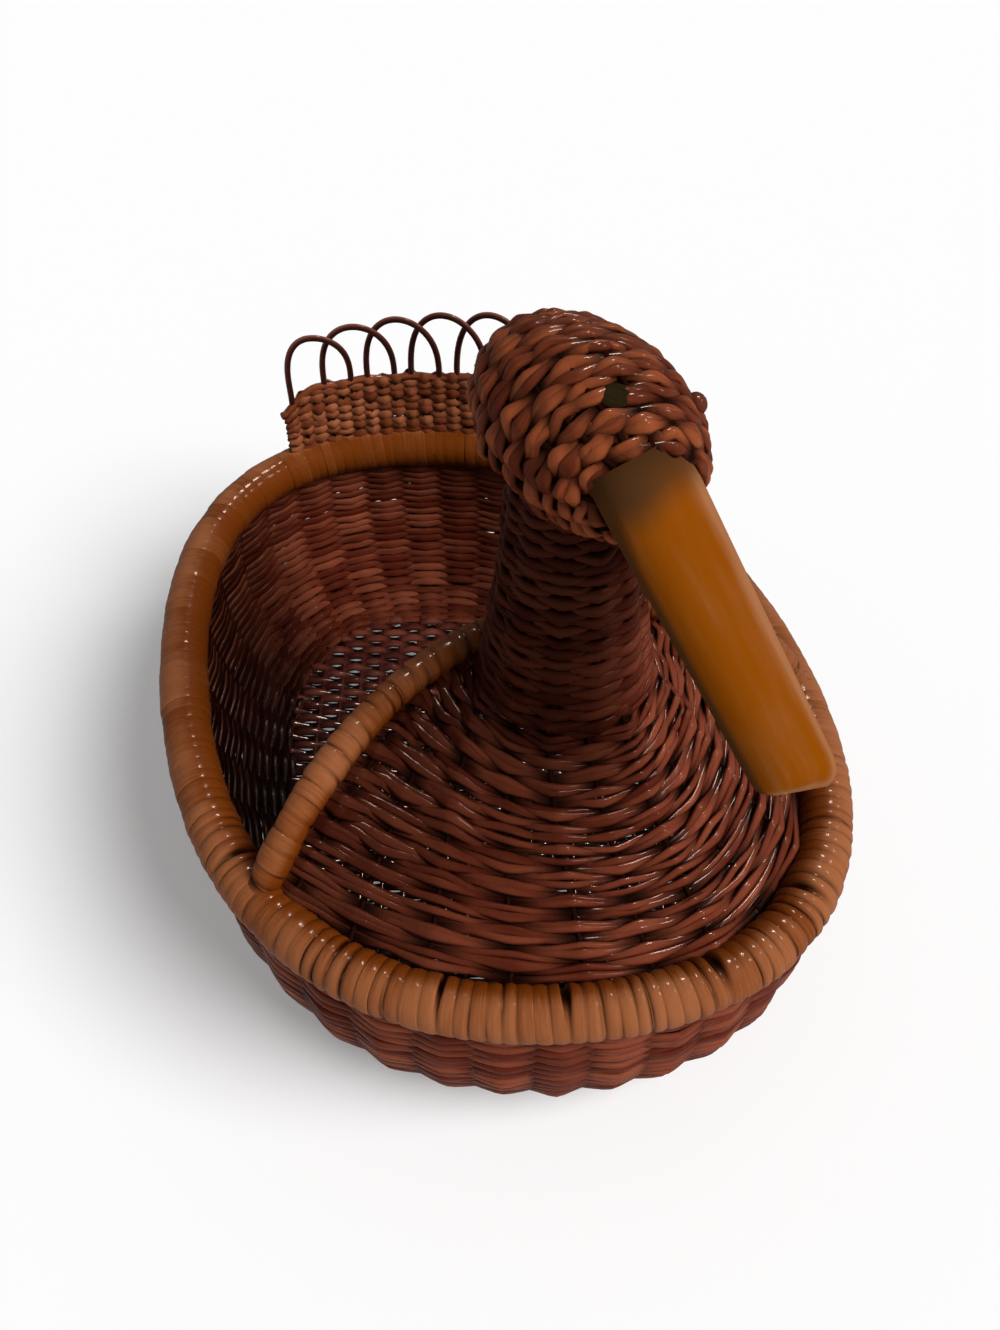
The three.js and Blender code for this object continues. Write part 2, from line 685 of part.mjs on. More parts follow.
const weave = material("#5a2a1c", 0.35);
const binding = material("#96602c", 0.35);
const hoopWood = material("#8a6a42", 0.6);
const spokeCane = material("#6b3c22", 0.45);
const loopCane = material("#4a2118", 0.35);
const billWood = material("#a5660f", 0.35);
const bead = material("#1a1814", 0.3);

const basket = new THREE.Group();

function add(name, geometry, look) {
  const mesh = new THREE.Mesh(geometry, look);
  mesh.name = name;
  basket.add(mesh);
}

add("base_weave", baseWeave(), weave);
add("wall_foot", wallFoot(), weave);
add("body_wall", bodyWall(), weave);
spokeEnds().forEach((ends, i) => {
  const long = i < LONG_SPOKES;
  const number = long ? i + 1 : i + 1 - LONG_SPOKES;
  add(`${long ? "long" : "short"}_spoke_${String(number).padStart(2, "0")}`, spoke(ends), spokeCane);
});
add("rim_hoop", rimHoop(), hoopWood);
add("rim_wrap", rimWrap(), binding);
add("arch_hoop", archHoop(), hoopWood);
add("arch_wrap", archWrap(), binding);
add("breast_weave", breastWeave(), weave);
add("neck_weave", neckWeave(), weave);
add("head_weave", headWeave(), weave);
add("bill", bill(0), billWood);
add("eye_left", eyeLeft(0), bead);
add("eye_right", eyeRight(0), bead);
add("tail_weave", tailWeave(), weave);
for (let number = 0; number < LOOP_COUNT; number += 1) {
  add(`tail_loop_${number + 1}`, tailLoop(number), loopCane);
}

export default basket;
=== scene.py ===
# %% [markdown]
# # Dressing a wicker duck
# The real thing is a small oval basket of stained, varnished cane in the shape of a duck. The packed
# model gives its plain solids in one shared frame. Here the pieces that show are woven, wound and
# shaped in that frame, in millimetres, so that each one sits where its solid is.

# %% Load the frame
import math

import bpy
import numpy as np
from mathutils import Matrix, Vector


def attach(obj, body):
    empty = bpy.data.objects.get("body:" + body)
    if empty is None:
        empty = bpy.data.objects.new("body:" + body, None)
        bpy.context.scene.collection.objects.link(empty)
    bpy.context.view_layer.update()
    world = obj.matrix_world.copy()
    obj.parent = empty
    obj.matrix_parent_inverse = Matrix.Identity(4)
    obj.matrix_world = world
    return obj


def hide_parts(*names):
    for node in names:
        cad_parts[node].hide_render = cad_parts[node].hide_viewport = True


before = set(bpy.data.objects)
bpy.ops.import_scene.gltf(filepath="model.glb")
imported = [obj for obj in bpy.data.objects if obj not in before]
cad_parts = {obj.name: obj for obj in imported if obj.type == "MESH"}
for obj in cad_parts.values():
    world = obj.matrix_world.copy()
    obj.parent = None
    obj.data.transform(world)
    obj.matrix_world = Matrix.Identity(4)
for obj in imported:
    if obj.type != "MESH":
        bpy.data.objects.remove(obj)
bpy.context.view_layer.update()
scene = bpy.context.scene
MM = 0.001

# %% [markdown]
# ## Camera and light
# The photograph looks down on the duck from its front right. The camera repeats that view: a focal
# length in photo pixels becomes a lens on a 36 mm sensor. The light is an even sky with three lamps.
# Area lamps would do, but distant ones light every part alike: a broad one from the duck's front left
# gives the shading alone, and two small warm ones give the glints on the varnish alone.

# %% Camera
PHOTO_HEIGHT = 1330
FOCAL_PIXELS = 1200
SENSOR = 36
CLIP_START = 10
CAMERA_PLACE = Vector((-66.24, -197.02, 282.39))
CAMERA_TARGET = Vector((11.008, 15.219, 40.0))


def put(name, data):
    """A new object in the scene."""
    made = bpy.data.objects.new(name, data)
    scene.collection.objects.link(made)
    return made


def aimed(item, place, target):
    """A camera or lamp at a place, turned to a target."""
    holder = put(item.name, item)
    holder.location = place * MM
    holder.rotation_euler = (target - place).to_track_quat("-Z", "Y").to_euler()
    return holder


lens = bpy.data.cameras.new("photo_camera")
lens.sensor_width = SENSOR
lens.lens = SENSOR * FOCAL_PIXELS / PHOTO_HEIGHT
lens.clip_start = CLIP_START * MM
scene.camera = aimed(lens, CAMERA_PLACE, CAMERA_TARGET)
scene.view_settings.view_transform = "Standard"
print("lens in mm:", round(lens.lens, 2))

# %% Light
SKY_STRENGTH = 0.2
KEY_FROM, KEY_STRENGTH, KEY_ANGLE = Vector((450, -500, 740)), 3.4, math.radians(34)
GLINTS = ((Vector((300, 330, 700)), 3.0), (Vector((560, -60, 640)), 0.9))
GLINT_ANGLE, GLINT_COLOUR = math.radians(10), (1.0, 0.8, 0.68)


def distant_lamp(name, start, strength, angle):
    """A lamp far off in the direction of start, as broad in the sky as the angle."""
    lamp = bpy.data.lights.new(name, "SUN")
    lamp.energy = strength
    lamp.angle = angle
    return aimed(lamp, start, Vector((0, 0, 0)))


sky = bpy.data.worlds.new("even_sky")
sky.use_nodes = True
background = sky.node_tree.nodes["Background"].inputs
background["Color"].default_value = (1, 1, 1, 1)
background["Strength"].default_value = SKY_STRENGTH
scene.world = sky
key = distant_lamp("key", KEY_FROM, KEY_STRENGTH, KEY_ANGLE)
key.visible_glossy = False
for start, strength in GLINTS:
    glint = distant_lamp("glint", start, strength, GLINT_ANGLE)
    glint.data.color = GLINT_COLOUR
    glint.visible_diffuse = False
print("lamps:", len(bpy.data.lights))

# %% [markdown]
# ## Finishes
# Every strand is cane with a dark stain under a glossy varnish. Fine fibres run along it, the stain
# is deeper and painted shade lies where the strand dives under its neighbours, and each strand took the
# stain a little differently. Painted pictures would have to be drawn for every strand, so two shader
# groups work it out, and every cane or wood material places both with its own colours. They read what
# the meshes carry: a fibre map along and round the strand, a tone for the strand, which on the bindings
# and the bill also holds painted light, a crest value that says how far a point stands out of the weave,
# and painted shade, which darkens the places that lie in shadow.

# %% Shader helpers


def colour(red, green, blue):
    """A screen colour of 0 to 255 as the linear colour that shaders take."""
    screen = np.array([red, green, blue]) / 255
    linear = np.where(screen <= 0.04045, screen / 12.92, ((screen + 0.055) / 1.055) ** 2.4)
    return (*map(float, linear), 1.0)


def feed(tree, socket, value):
    """Links a node's output to a socket, or sets a plain value on it."""
    if isinstance(value, bpy.types.NodeSocket):
        tree.links.new(value, socket)
    else:
        socket.default_value = value


def sums(tree, operation, first, second=0.0, third=0.0):
    """The result of a math node."""
    node = tree.nodes.new("ShaderNodeMath")
    node.operation = operation
    for socket, value in zip(node.inputs, (first, second, third)):
        feed(tree, socket, value)
    return node.outputs[0]


def blend(tree, share, first, second):
    """A colour between two. The mix node takes colours in sockets 6 and 7 and gives one in socket 2."""
    node = tree.nodes.new("ShaderNodeMix")
    node.data_type = "RGBA"
    for index, value in ((0, share), (6, first), (7, second)):
        feed(tree, node.inputs[index], value)
    return node.outputs[2]


def ramp(tree, value, low, high, to_low=0.0, to_high=1.0):
    """A value taken smoothly from one range to another."""
    node = tree.nodes.new("ShaderNodeMapRange")
    node.interpolation_type = "SMOOTHSTEP"
    for socket, number in zip(node.inputs, (value, low, high, to_low, to_high)):
        feed(tree, socket, number)
    return node.outputs[0]


# %% Noise, carried values and groups


def noise(tree, vector, scale, detail):
    """Soft random values of 0 to 1."""
    node = tree.nodes.new("ShaderNodeTexNoise")
    feed(tree, node.inputs["Vector"], vector)
    feed(tree, node.inputs["Scale"], scale)
    node.inputs["Detail"].default_value = detail
    return node.outputs["Fac"]


def carried(tree, name):
    """A value that the mesh carries."""
    node = tree.nodes.new("ShaderNodeAttribute")
    node.attribute_name = name
    return node.outputs["Fac"]


def shader_group(name, takes, gives):
    """An empty node group with named inputs and outputs, and the sockets inside it."""
    tree = bpy.data.node_groups.new(name, "ShaderNodeTree")
    for label, kind, value in takes:
        tree.interface.new_socket(label, in_out="INPUT", socket_type=kind).default_value = value
    for label, kind in gives:
        tree.interface.new_socket(label, in_out="OUTPUT", socket_type=kind)
    return tree, tree.nodes.new("NodeGroupInput").outputs, tree.nodes.new("NodeGroupOutput").inputs


# %% The cane's fibre: streaks along the strand
NUMBER, TINT = "NodeSocketFloat", "NodeSocketColor"
STREAK_DETAIL, LUMP_DETAIL, LUMP_SHARE = 4.0, 2.0, 1.6
fibres, taken, given = shader_group(
    "cane_fibre",
    [("Along", NUMBER, 0.12), ("Across", NUMBER, 9.0), ("Lump Size", NUMBER, 700.0)],
    [("Streak", NUMBER), ("Relief", NUMBER)],
)
fibre_map = fibres.nodes.new("ShaderNodeUVMap")
fibre_map.uv_map = "fibre"
stretch = fibres.nodes.new("ShaderNodeCombineXYZ")
feed(fibres, stretch.inputs["X"], taken["Along"])
feed(fibres, stretch.inputs["Y"], taken["Across"])
scaled = fibres.nodes.new("ShaderNodeVectorMath")
scaled.operation = "MULTIPLY"
feed(fibres, scaled.inputs[0], fibre_map.outputs["UV"])
feed(fibres, scaled.inputs[1], stretch.outputs["Vector"])
streaks = noise(fibres, scaled.outputs["Vector"], 1.0, STREAK_DETAIL)
place = fibres.nodes.new("ShaderNodeTexCoord").outputs["Object"]
lumps = noise(fibres, place, taken["Lump Size"], LUMP_DETAIL)
feed(fibres, given["Streak"], streaks)
feed(fibres, given["Relief"], sums(fibres, "MULTIPLY_ADD", lumps, LUMP_SHARE, streaks))

# %% The stain, with painted shade: deep in the gaps, uneven from strand to strand
TONE_SHARE, PATCH_SHARE, STREAK_SHARE, PATCH_DETAIL = 0.6, 0.5, 0.5, 2.0
WORN_RANGE = 0.55, 1.1
PATCH_RANGE, ROUGHNESS_RANGE = (0.3, 0.7), (0.24, 0.42)
PAINTED_SHADE_RANGE, GLOSS_RANGE = (0.3, 0.85), (1.0, 0.05)
stains, taken, given = shader_group(
    "cane_stain",
    [("Deep", TINT, (0, 0, 0, 1)), ("Stain", TINT, (0.1, 0.05, 0.02, 1)),
     ("Worn", TINT, (0.3, 0.15, 0.05, 1)), ("Streak", NUMBER, 0.5), ("Patch Size", NUMBER, 60.0),
     ("Depth", NUMBER, 0.5)],
    [("Color", TINT), ("Roughness", NUMBER), ("Gloss", NUMBER)],
)
tone, crest, soot = (carried(stains, label) for label in ("tone", "crest", "soot"))
place = stains.nodes.new("ShaderNodeTexCoord").outputs["Object"]
patch = noise(stains, place, taken["Patch Size"], PATCH_DETAIL)
worn = sums(stains, "MULTIPLY", patch, PATCH_SHARE)
worn = sums(stains, "MULTIPLY_ADD", tone, TONE_SHARE, worn)
worn = sums(stains, "MULTIPLY_ADD", taken["Streak"], STREAK_SHARE, worn)
body = blend(stains, ramp(stains, worn, *WORN_RANGE), taken["Stain"], taken["Worn"])
# Painted shade: the deep colour where a strand dives under or turns away, and wherever the carried painted
# shade is set
sunk = sums(stains, "MAXIMUM", ramp(stains, crest, 0.0, taken["Depth"], 1.0, 0.0), soot)
feed(stains, given["Color"], blend(stains, sunk, body, taken["Deep"]))
feed(stains, given["Roughness"], ramp(stains, patch, *PATCH_RANGE, *ROUGHNESS_RANGE))
# Glints fade out under the painted shade.
feed(stains, given["Gloss"], ramp(stains, soot, *PAINTED_SHADE_RANGE, *GLOSS_RANGE))
print("shader groups:", [group.name for group in bpy.data.node_groups])

# %% Cane and wood materials
COAT_ROUGHNESS, COAT_INDEX, SHINE_UNDER_COAT, RELIEF_DEPTH = 0.1, 1.28, 0.03, 0.2


def placed(tree, group, **values):
    """A shader group set in a material with values of its own, and its outputs."""
    node = tree.nodes.new("ShaderNodeGroup")
    node.node_tree = group
    for label, value in values.items():
        feed(tree, node.inputs[label.replace("_", " ")], value)
    return node.outputs


def blank(name):
    """A new material, its nodes and its shader."""
    material = bpy.data.materials.new(name)
    material.use_nodes = True
    return material, material.node_tree, material.node_tree.nodes["Principled BSDF"]


def varnished(name, deep, stain, worn, along=0.1, across=6.0, depth=0.5, coat=0.45, bump=0.3,
              patch_size=60.0):
    """A cane or wood finish: stained fibre under a clear coat. A coat of 0 leaves it dull."""
    material, tree, shader = blank(name)
    fibre = placed(tree, fibres, Along=along, Across=across)
    look = placed(tree, stains, Deep=colour(*deep), Stain=colour(*stain), Worn=colour(*worn),
                  Streak=fibre["Streak"], Patch_Size=patch_size, Depth=depth)
    feed(tree, shader.inputs["Base Color"], look["Color"])
    feed(tree, shader.inputs["Roughness"], look["Roughness"])
    feed(tree, shader.inputs["Coat Weight"], sums(tree, "MULTIPLY", look["Gloss"], coat) if coat else 0.0)
    shader.inputs["Specular IOR Level"].default_value = SHINE_UNDER_COAT if coat else 0.0
    shader.inputs["Coat Roughness"].default_value = COAT_ROUGHNESS
    shader.inputs["Coat IOR"].default_value = COAT_INDEX
    relief = tree.nodes.new("ShaderNodeBump")
    relief.inputs["Strength"].default_value = bump
    relief.inputs["Distance"].default_value = RELIEF_DEPTH * MM
    feed(tree, relief.inputs["Height"], fibre["Relief"])
    feed(tree, shader.inputs["Normal"], relief.outputs["Normal"])
    return material


wall_cane = varnished("wall_cane", (8, 2, 2), (90, 34, 20), (136, 69, 46), depth=0.8, bump=0.45)
# The base's cane is darker than the side's: painted shade inside the bowl.
base_cane_in_shade = varnished("base_cane_in_shade", (6, 2, 2), (66, 27, 21), (110, 56, 42), depth=0.85, coat=0.9, bump=0.4)
breast_cane = varnished("breast_cane", (7, 2, 1), (84, 31, 17), (124, 60, 39), depth=0.85, coat=0.36,
                        bump=0.45)
head_cane = varnished("head_cane", (9, 3, 2), (86, 35, 19), (138, 70, 39), across=7.0, depth=0.9,
                      coat=0.38, bump=0.5)
tail_cane = varnished("tail_cane", (18, 6, 3), (108, 52, 28), (156, 92, 60), depth=0.75, bump=0.45)
loop_cane = varnished("loop_cane", (50, 22, 18), (104, 52, 42), (146, 88, 72), across=4.0)
# The stakes are painted near black, as painted shade in the gaps where they show.
stake_cane_in_shade = varnished("stake_cane_in_shade", (6, 2, 1), (26, 9, 6), (40, 16, 10), across=4.0, coat=0.0)
binding_cane = varnished("binding_cane", (30, 10, 3), (106, 49, 9), (148, 89, 54), along=0.12, across=9.0,
                         depth=0.9, coat=0.32, patch_size=35.0)
hoop_wood = varnished("hoop_wood", (96, 66, 38), (138, 106, 66), (160, 128, 84), along=0.05)
print("materials:", len(bpy.data.materials))

# %% [markdown]
# ## Floor
# The duck stands on a wide sheet of pale paper. Plain paper comes out grey in this soft light. A brighter
# lamp would mend that and bleach the cane, so the paper has a little light of its own that only the
# camera sees. It is kept out of the varnish's reflections, which would veil the dark stain.

# %% Paper floor
FLOOR_SIZE = 4000
FLOOR_COLOUR = colour(253, 253, 253)
FLOOR_ROUGHNESS, FLOOR_GLOW = 0.9, 0.21
half = FLOOR_SIZE / 2 * MM
corners = [(x * half, y * half, 0) for x, y in ((-1, -1), (1, -1), (1, 1), (-1, 1))]
floor_mesh = bpy.data.meshes.new("floor")
floor_mesh.from_pydata(corners, [], [(0, 1, 2, 3)])
floor = put("floor", floor_mesh)
paper, paper_tree, matt = blank("paper")
matt.inputs["Base Color"].default_value = FLOOR_COLOUR
matt.inputs["Roughness"].default_value = FLOOR_ROUGHNESS
matt.inputs["Specular IOR Level"].default_value = 0.0
glow = paper_tree.nodes.new("ShaderNodeEmission")
seen = paper_tree.nodes.new("ShaderNodeLightPath").outputs["Is Camera Ray"]
both = paper_tree.nodes.new("ShaderNodeMixShader")
feed(paper_tree, both.inputs[0], sums(paper_tree, "MULTIPLY", seen, FLOOR_GLOW))
feed(paper_tree, both.inputs[1], matt.outputs[0])
feed(paper_tree, both.inputs[2], glow.outputs[0])
feed(paper_tree, paper_tree.nodes["Material Output"].inputs["Surface"], both.outputs[0])
floor_mesh.materials.append(paper)
floor.visible_glossy = False
print("floor side in mm:", FLOOR_SIZE)

# %% [markdown]
# ## The shapes that carry the weave
# Each woven part follows a smooth surface: the bowl's side, the breast, the neck, the head and the
# tail. They could be modelled by hand and sampled, but formulas keep the sizes of the solids and can be
# read. Each takes two shares, u round or along the strands and v from row to row, and NumPy works it
# out for a whole row at once.

# %% Curves
UP = np.array([0.0, 0.0, 1.0])
RIM_HALF_LENGTH, RIM_HALF_WIDTH, RIM_HEIGHT, RIM_RADIUS = 100.5, 75.0, 58.0, 6.0
RIM_EGG, RIM_CORNER, RIM_CORNER_PHASE, RIM_TURN = 0.044, 0.0235, math.radians(64.5), math.radians(5)


def unit(vectors):
    """Vectors brought to a length of 1."""
    return vectors / np.linalg.norm(vectors, axis=-1, keepdims=True)


def cubic(start, first, second, end, share):
    """A curve that leaves its start towards the first handle and comes to its end from the second."""
    t = np.asarray(share, float)[..., None]
    return (1 - t) ** 3 * start + 3 * (1 - t) ** 2 * t * first + 3 * (1 - t) * t**2 * second + t**3 * end


def oval(angle, inset, height):
    """A point of the basket's handmade oval, drawn in by inset. Angle 0 is the breast."""
    angle = np.asarray(angle, float)
    fullness = 1 - RIM_CORNER * np.cos(4 * angle + RIM_CORNER_PHASE)
    x = (RIM_HALF_WIDTH - inset) * fullness * np.sin(angle) * (1 + RIM_EGG * np.cos(angle))
    y = -(RIM_HALF_LENGTH - inset) * fullness * np.cos(angle)
    cos, sin = math.cos(RIM_TURN), math.sin(RIM_TURN)
    return np.stack([x * cos - y * sin, x * sin + y * cos, height + 0 * x], -1)


def reached(curve, start=0.0, end=1.0, samples=400):
    """Shares of a curve, the part of its length that each has reached, and the whole length."""
    shares = np.linspace(start, end, samples)
    steps = np.linalg.norm(np.diff(curve(shares), axis=0), axis=1)
    length = np.concatenate([[0], np.cumsum(steps)])
    return shares, length / length[-1], length[-1]


def even_rows(surface, u, pitch, start=0.0, end=1.0):
    """Rows of a surface that are an even pitch apart along its line at u."""
    shares, parts, length = reached(lambda v: surface(u + 0 * v, v), start, end)
    return np.interp(np.linspace(0, 1, round(length / pitch) + 1), parts, shares)


# %% Bowl's side
BASE_INSET, BASE_MIDDLE = 22.0, 3.2
WALL_TOP, WALL_TOP_INSET = 51.3, 0.5
WALL_FOOT_REACH, WALL_BELLY_REACH, WALL_BELLY_BULGE = 17.0, 26.0, 6.0
WALL_PROFILE = [np.array(corner) for corner in (
    (BASE_INSET, BASE_MIDDLE), (BASE_INSET - WALL_FOOT_REACH, BASE_MIDDLE),
    (WALL_TOP_INSET - WALL_BELLY_BULGE, WALL_TOP - WALL_BELLY_REACH), (WALL_TOP_INSET, WALL_TOP))]


def wall(u, v):
    """The side of the bowl, from the edge of the base up to the rim."""
    profile = cubic(*WALL_PROFILE, v)
    return oval(2 * np.pi * u, profile[..., 0], profile[..., 1])


# %% Arch and breast
ARCH_FOOT_ANGLE, ARCH_TOP, ARCH_RADIUS = math.radians(66), 85.0, 3.8
ARCH_FOOT_RISE, ARCH_FOOT_LEAN, ARCH_TOP_REACH = 22.0, 8.0, 40.0
NECK_X, NECK_Y, NECK_FOOT, NECK_FOOT_RADIUS, NECK_WALL = 10.0, -30.0, 89.1, 20.0, 4.0
BREAST_TURN, BREAST_ARCH_SHARE, BREAST_ARCH_POWER = math.radians(160), 0.93, 3
BREAST_FOOT_REACH, BREAST_FOOT_RISE, BREAST_NECK_FLARE, BREAST_NECK_DROP = 24.0, 8.0, 5.0, 17.0
arch_top = np.array([NECK_X, NECK_Y + NECK_FOOT_RADIUS - NECK_WALL / 2, ARCH_TOP])


def arch_half(side, share):
    """Half of the arch, from its foot on the rim up to its top behind the neck."""
    foot = oval(side * ARCH_FOOT_ANGLE, 0, RIM_HEIGHT)
    foot_handle = foot + [-side * ARCH_FOOT_LEAN, 0, ARCH_FOOT_RISE]
    return cubic(foot, foot_handle, arch_top + [side * ARCH_TOP_REACH, 0, 0], arch_top, share)


def breast(u, v):
    """The hood from the rim up to the neck. Its two ends follow the arch."""
    u, v = np.broadcast_arrays(np.asarray(u, float), np.asarray(v, float))
    side = 2 * u - 1
    foot = oval(side * ARCH_FOOT_ANGLE, 0, RIM_HEIGHT)
    turn = side * BREAST_TURN
    outward = np.stack([np.sin(turn), -np.cos(turn), 0 * turn], -1)
    ring = np.array([NECK_X, NECK_Y, NECK_FOOT]) + outward * (NECK_FOOT_RADIUS - NECK_WALL / 2)
    inward = unit((ring - foot) * [1, 1, 0])
    foot_handle = foot + inward * BREAST_FOOT_REACH + UP * BREAST_FOOT_RISE
    ring_handle = ring + outward * BREAST_NECK_FLARE - UP * BREAST_NECK_DROP
    middle = cubic(foot, foot_handle, ring_handle, ring, v)
    right, left = (arch_half(half, v * BREAST_ARCH_SHARE) for half in (-1, 1))
    arch = np.where(side[..., None] < 0, right, left)
    return middle + (arch - middle) * np.abs(side[..., None]) ** BREAST_ARCH_POWER


# %% Neck's tube
NECK_TOP, NECK_WAIST_RADIUS, NECK_TOP_RADIUS = 139.0, 16.5, 14.0


def neck(u, v):
    """The tube of the neck, narrow at its waist."""
    pull = 2 * NECK_WAIST_RADIUS - (NECK_FOOT_RADIUS + NECK_TOP_RADIUS) / 2
    radius = (1 - v) ** 2 * NECK_FOOT_RADIUS + 2 * v * (1 - v) * pull + v**2 * NECK_TOP_RADIUS - NECK_WALL / 2
    turn = 2 * np.pi * u
    height = NECK_FOOT + (NECK_TOP - NECK_FOOT) * v
    return np.stack([NECK_X + radius * np.sin(turn), NECK_Y - radius * np.cos(turn), height + 0 * turn], -1)


# %% Head's ball
HEAD_TURN, HEAD_NOD = math.radians(20), math.radians(10)
HEAD_CENTRE = np.array([11.3, -31.6, 151.6])
HEAD_HALF = np.array([18.5, 26.3, 17.8])
HEAD_DEPTH = 1.4
HEAD_FRONT, HEAD_BACK = math.radians(33), math.radians(174)
BILL_ROOT_REACH, BILL_ROOT_SIDE, BILL_ROOT_DROP, BILL_SLOPE = 20.2, -4.4, 1.6, math.radians(43)
FACING = np.array([math.sin(HEAD_TURN), -math.cos(HEAD_TURN), 0.0])
HEAD_ACROSS = np.cross(UP, FACING)
bill_way = FACING * math.cos(BILL_SLOPE) - UP * math.sin(BILL_SLOPE)
bill_root = HEAD_CENTRE + FACING * BILL_ROOT_REACH + HEAD_ACROSS * BILL_ROOT_SIDE - UP * BILL_ROOT_DROP
HEAD_POSE = np.array(Matrix.Rotation(HEAD_TURN, 3, "Z") @ Matrix.Rotation(HEAD_NOD, 3, "X"))
head_pole = unit((HEAD_POSE.T @ (bill_root - HEAD_CENTRE)) / HEAD_HALF)
head_side = unit(np.cross(head_pole, UP))
head_crown = np.cross(head_side, head_pole)


def head(u, v):
    """The rows run round the line from the bill to the back of the head."""
    round_turn, tilt = 2 * np.pi * u, HEAD_FRONT + (HEAD_BACK - HEAD_FRONT) * v
    around = np.cos(round_turn)[..., None] * head_crown + np.sin(round_turn)[..., None] * head_side
    ball = np.cos(tilt)[..., None] * head_pole + np.sin(tilt)[..., None] * around
    return HEAD_CENTRE + (ball * (HEAD_HALF - HEAD_DEPTH)) @ HEAD_POSE.T


print("root of the bill in mm:", bill_root.round(1))

# %% Tail's curve
TAIL_ANGLE, TAIL_SPAN, TAIL_TOP = math.radians(164.7), math.radians(57.5), 82.7
TAIL_OVERLAP, TAIL_CORNER_SHARE, TAIL_CORNER_DROP = 1.0, 0.16, 5.5


def tail(u, v):
    """The panel on the back of the rim. Its top drops at the corner on the duck's right."""
    foot = RIM_HEIGHT + RIM_RADIUS - TAIL_OVERLAP
    drop = TAIL_CORNER_DROP * np.clip((u - 1 + TAIL_CORNER_SHARE) / TAIL_CORNER_SHARE, 0, 1) ** 2
    return oval(TAIL_ANGLE + (u - 0.5) * TAIL_SPAN, 0, foot + (TAIL_TOP - drop - foot) * v)


# %% [markdown]
# ## Weaving
# Wicker is made of round cane that passes in front of one upright stake and behind the next. A tube
# could be bent with a curve object, but a mesh written in code keeps control of each ring: a strand is
# a row of rings, flattened across the weave, that sways to and fro as it passes the stakes. Rows sway
# in turn, or two together where the maker worked with pairs of strands. Seeded chance lets the strands
# wander, and makes each float, which is the stretch over one stake, a little different.

# %% One strand's sway
NUDGE = 1e-3
SHARPNESS = 0.96
SWAY_WAVES, SWAY_SCALE, OPEN_STRETCH, FULL_TURN = 4, 1.6, 0.7, 6.28
TONE_MIDDLE, TONE_SPREAD, FLOAT_TONE_SPREAD = 0.5, 0.2, 0.16


def sway(chance, u, closed):
    """A gentle handmade wander along a strand, about -1 to 1. It closes on itself if the strand does."""
    total = np.zeros_like(u)
    for wave in range(1, SWAY_WAVES + 1):
        size, phase = chance.normal(), chance.uniform(0, FULL_TURN)
        total += size * np.sin(2 * np.pi * wave * u * (1 if closed else OPEN_STRETCH) + phase) / wave
    return total / SWAY_SCALE


def over_and_under(passed):
    """From 1 in front of a stake to -1 behind the next: a zigzag with rounded turns."""
    return np.arcsin(SHARPNESS * np.cos(np.pi * passed)) / np.arcsin(SHARPNESS)


def strand_tone(chance, shade):
    """How a strand took the stain, with a shade for each of its floats."""
    return np.clip(chance.normal(TONE_MIDDLE, TONE_SPREAD) + FLOAT_TONE_SPREAD * shade, 0, 1)


# %% Rows of strands
THINNEST, WIDTH_WANDER, FINE_STAKE = 0.3, 0.06, 0.6


def woven(surface, rows, stakes, seed, *, lift, thick, steps, fill, widest, wander, uneven, swell=0.45,
          closed=True, together=1, spread=0.0, first=0.0, reach=(0.0, 1.0), soot=None, soot_inside=False):
    """Strands along the rows of a surface, over and under its stakes.

    A strand stands out by its lift, fills its share of the pitch and swells over a stake, where
    strands that are worked together spread apart. Uneven says how much its floats differ.
    """
    chance = np.random.default_rng(seed)
    u = np.linspace(*reach, steps, endpoint=not closed)
    pitch = np.gradient(rows)
    strands = []
    for number, row in enumerate(rows):
        passed = (u - first) * stakes
        wave = over_and_under(passed + number // together)
        floats = np.floor(passed + 0.5).astype(int) % round(stakes)
        high, wide, aside, shade = chance.normal(0, 1, (4, round(stakes)))[:, floats] * np.abs(wave)
        apart = spread * (number % together - (together - 1) / 2) * np.abs(wave)
        v = row + pitch[number] * (wander * sway(chance, u, closed) + apart + uneven * aside)
        along = surface(u + NUDGE, v) - surface(u - NUDGE, v)
        rise = (surface(u, v + NUDGE) - surface(u, v - NUDGE)) / (2 * NUDGE)
        normal = unit(np.cross(along, rise))
        width = np.clip(np.linalg.norm(rise, axis=1) * pitch[number] * fill / 2, THINNEST, widest)
        width = width * (1 + WIDTH_WANDER * sway(chance, u, closed)) * (1 + swell * np.abs(wave))
        height = wave * (lift(u) if callable(lift) else lift) * (1 + uneven * high)
        strands.append(dict(
            points=surface(u, v) + normal * height[:, None], normal=normal, closed=closed, wave=wave,
            width=width * (1 + uneven / 2 * wide), thick=thick + 0 * u, tone=strand_tone(chance, shade),
            soot=soot(u, v) if soot else 0 * u, soot_inside=soot_inside))
    return strands


def rod(points, radius, normal=UP, tone=0.5):
    """A round cane along points, as one strand."""
    points = np.asarray(points, float)
    flat = np.zeros(len(points))
    return dict(points=points, normal=np.broadcast_to(np.asarray(normal, float), points.shape),
                closed=False, wave=flat + 1, width=flat + radius, thick=flat + radius, tone=flat + tone,
                soot=flat, soot_inside=False)


def stakes_up(surface, places, shares, normal, radius=FINE_STAKE):
    """Round canes up a surface, across its rows."""
    return [rod(surface(u + 0 * shares, shares), radius, normal) for u in places]


# %% Faces of a tube


def faces(quads, near, far, left, right, caps):
    """Corners and sizes of quads and end caps, and the fibre map from near to far and left to right."""
    corners = (near, left), (near, right), (far, right), (far, left)
    fibre = np.stack([np.stack(corner, -1) for corner in corners], -2).reshape(-1, 2)
    ends = np.array([cap.size for cap in caps], int)
    return dict(corners=np.concatenate([quads.reshape(-1), *caps]),
                sizes=np.concatenate([np.full(quads.size // 4, 4), ends]),
                fibre=np.concatenate([fibre, np.zeros((ends.sum(), 2))]))


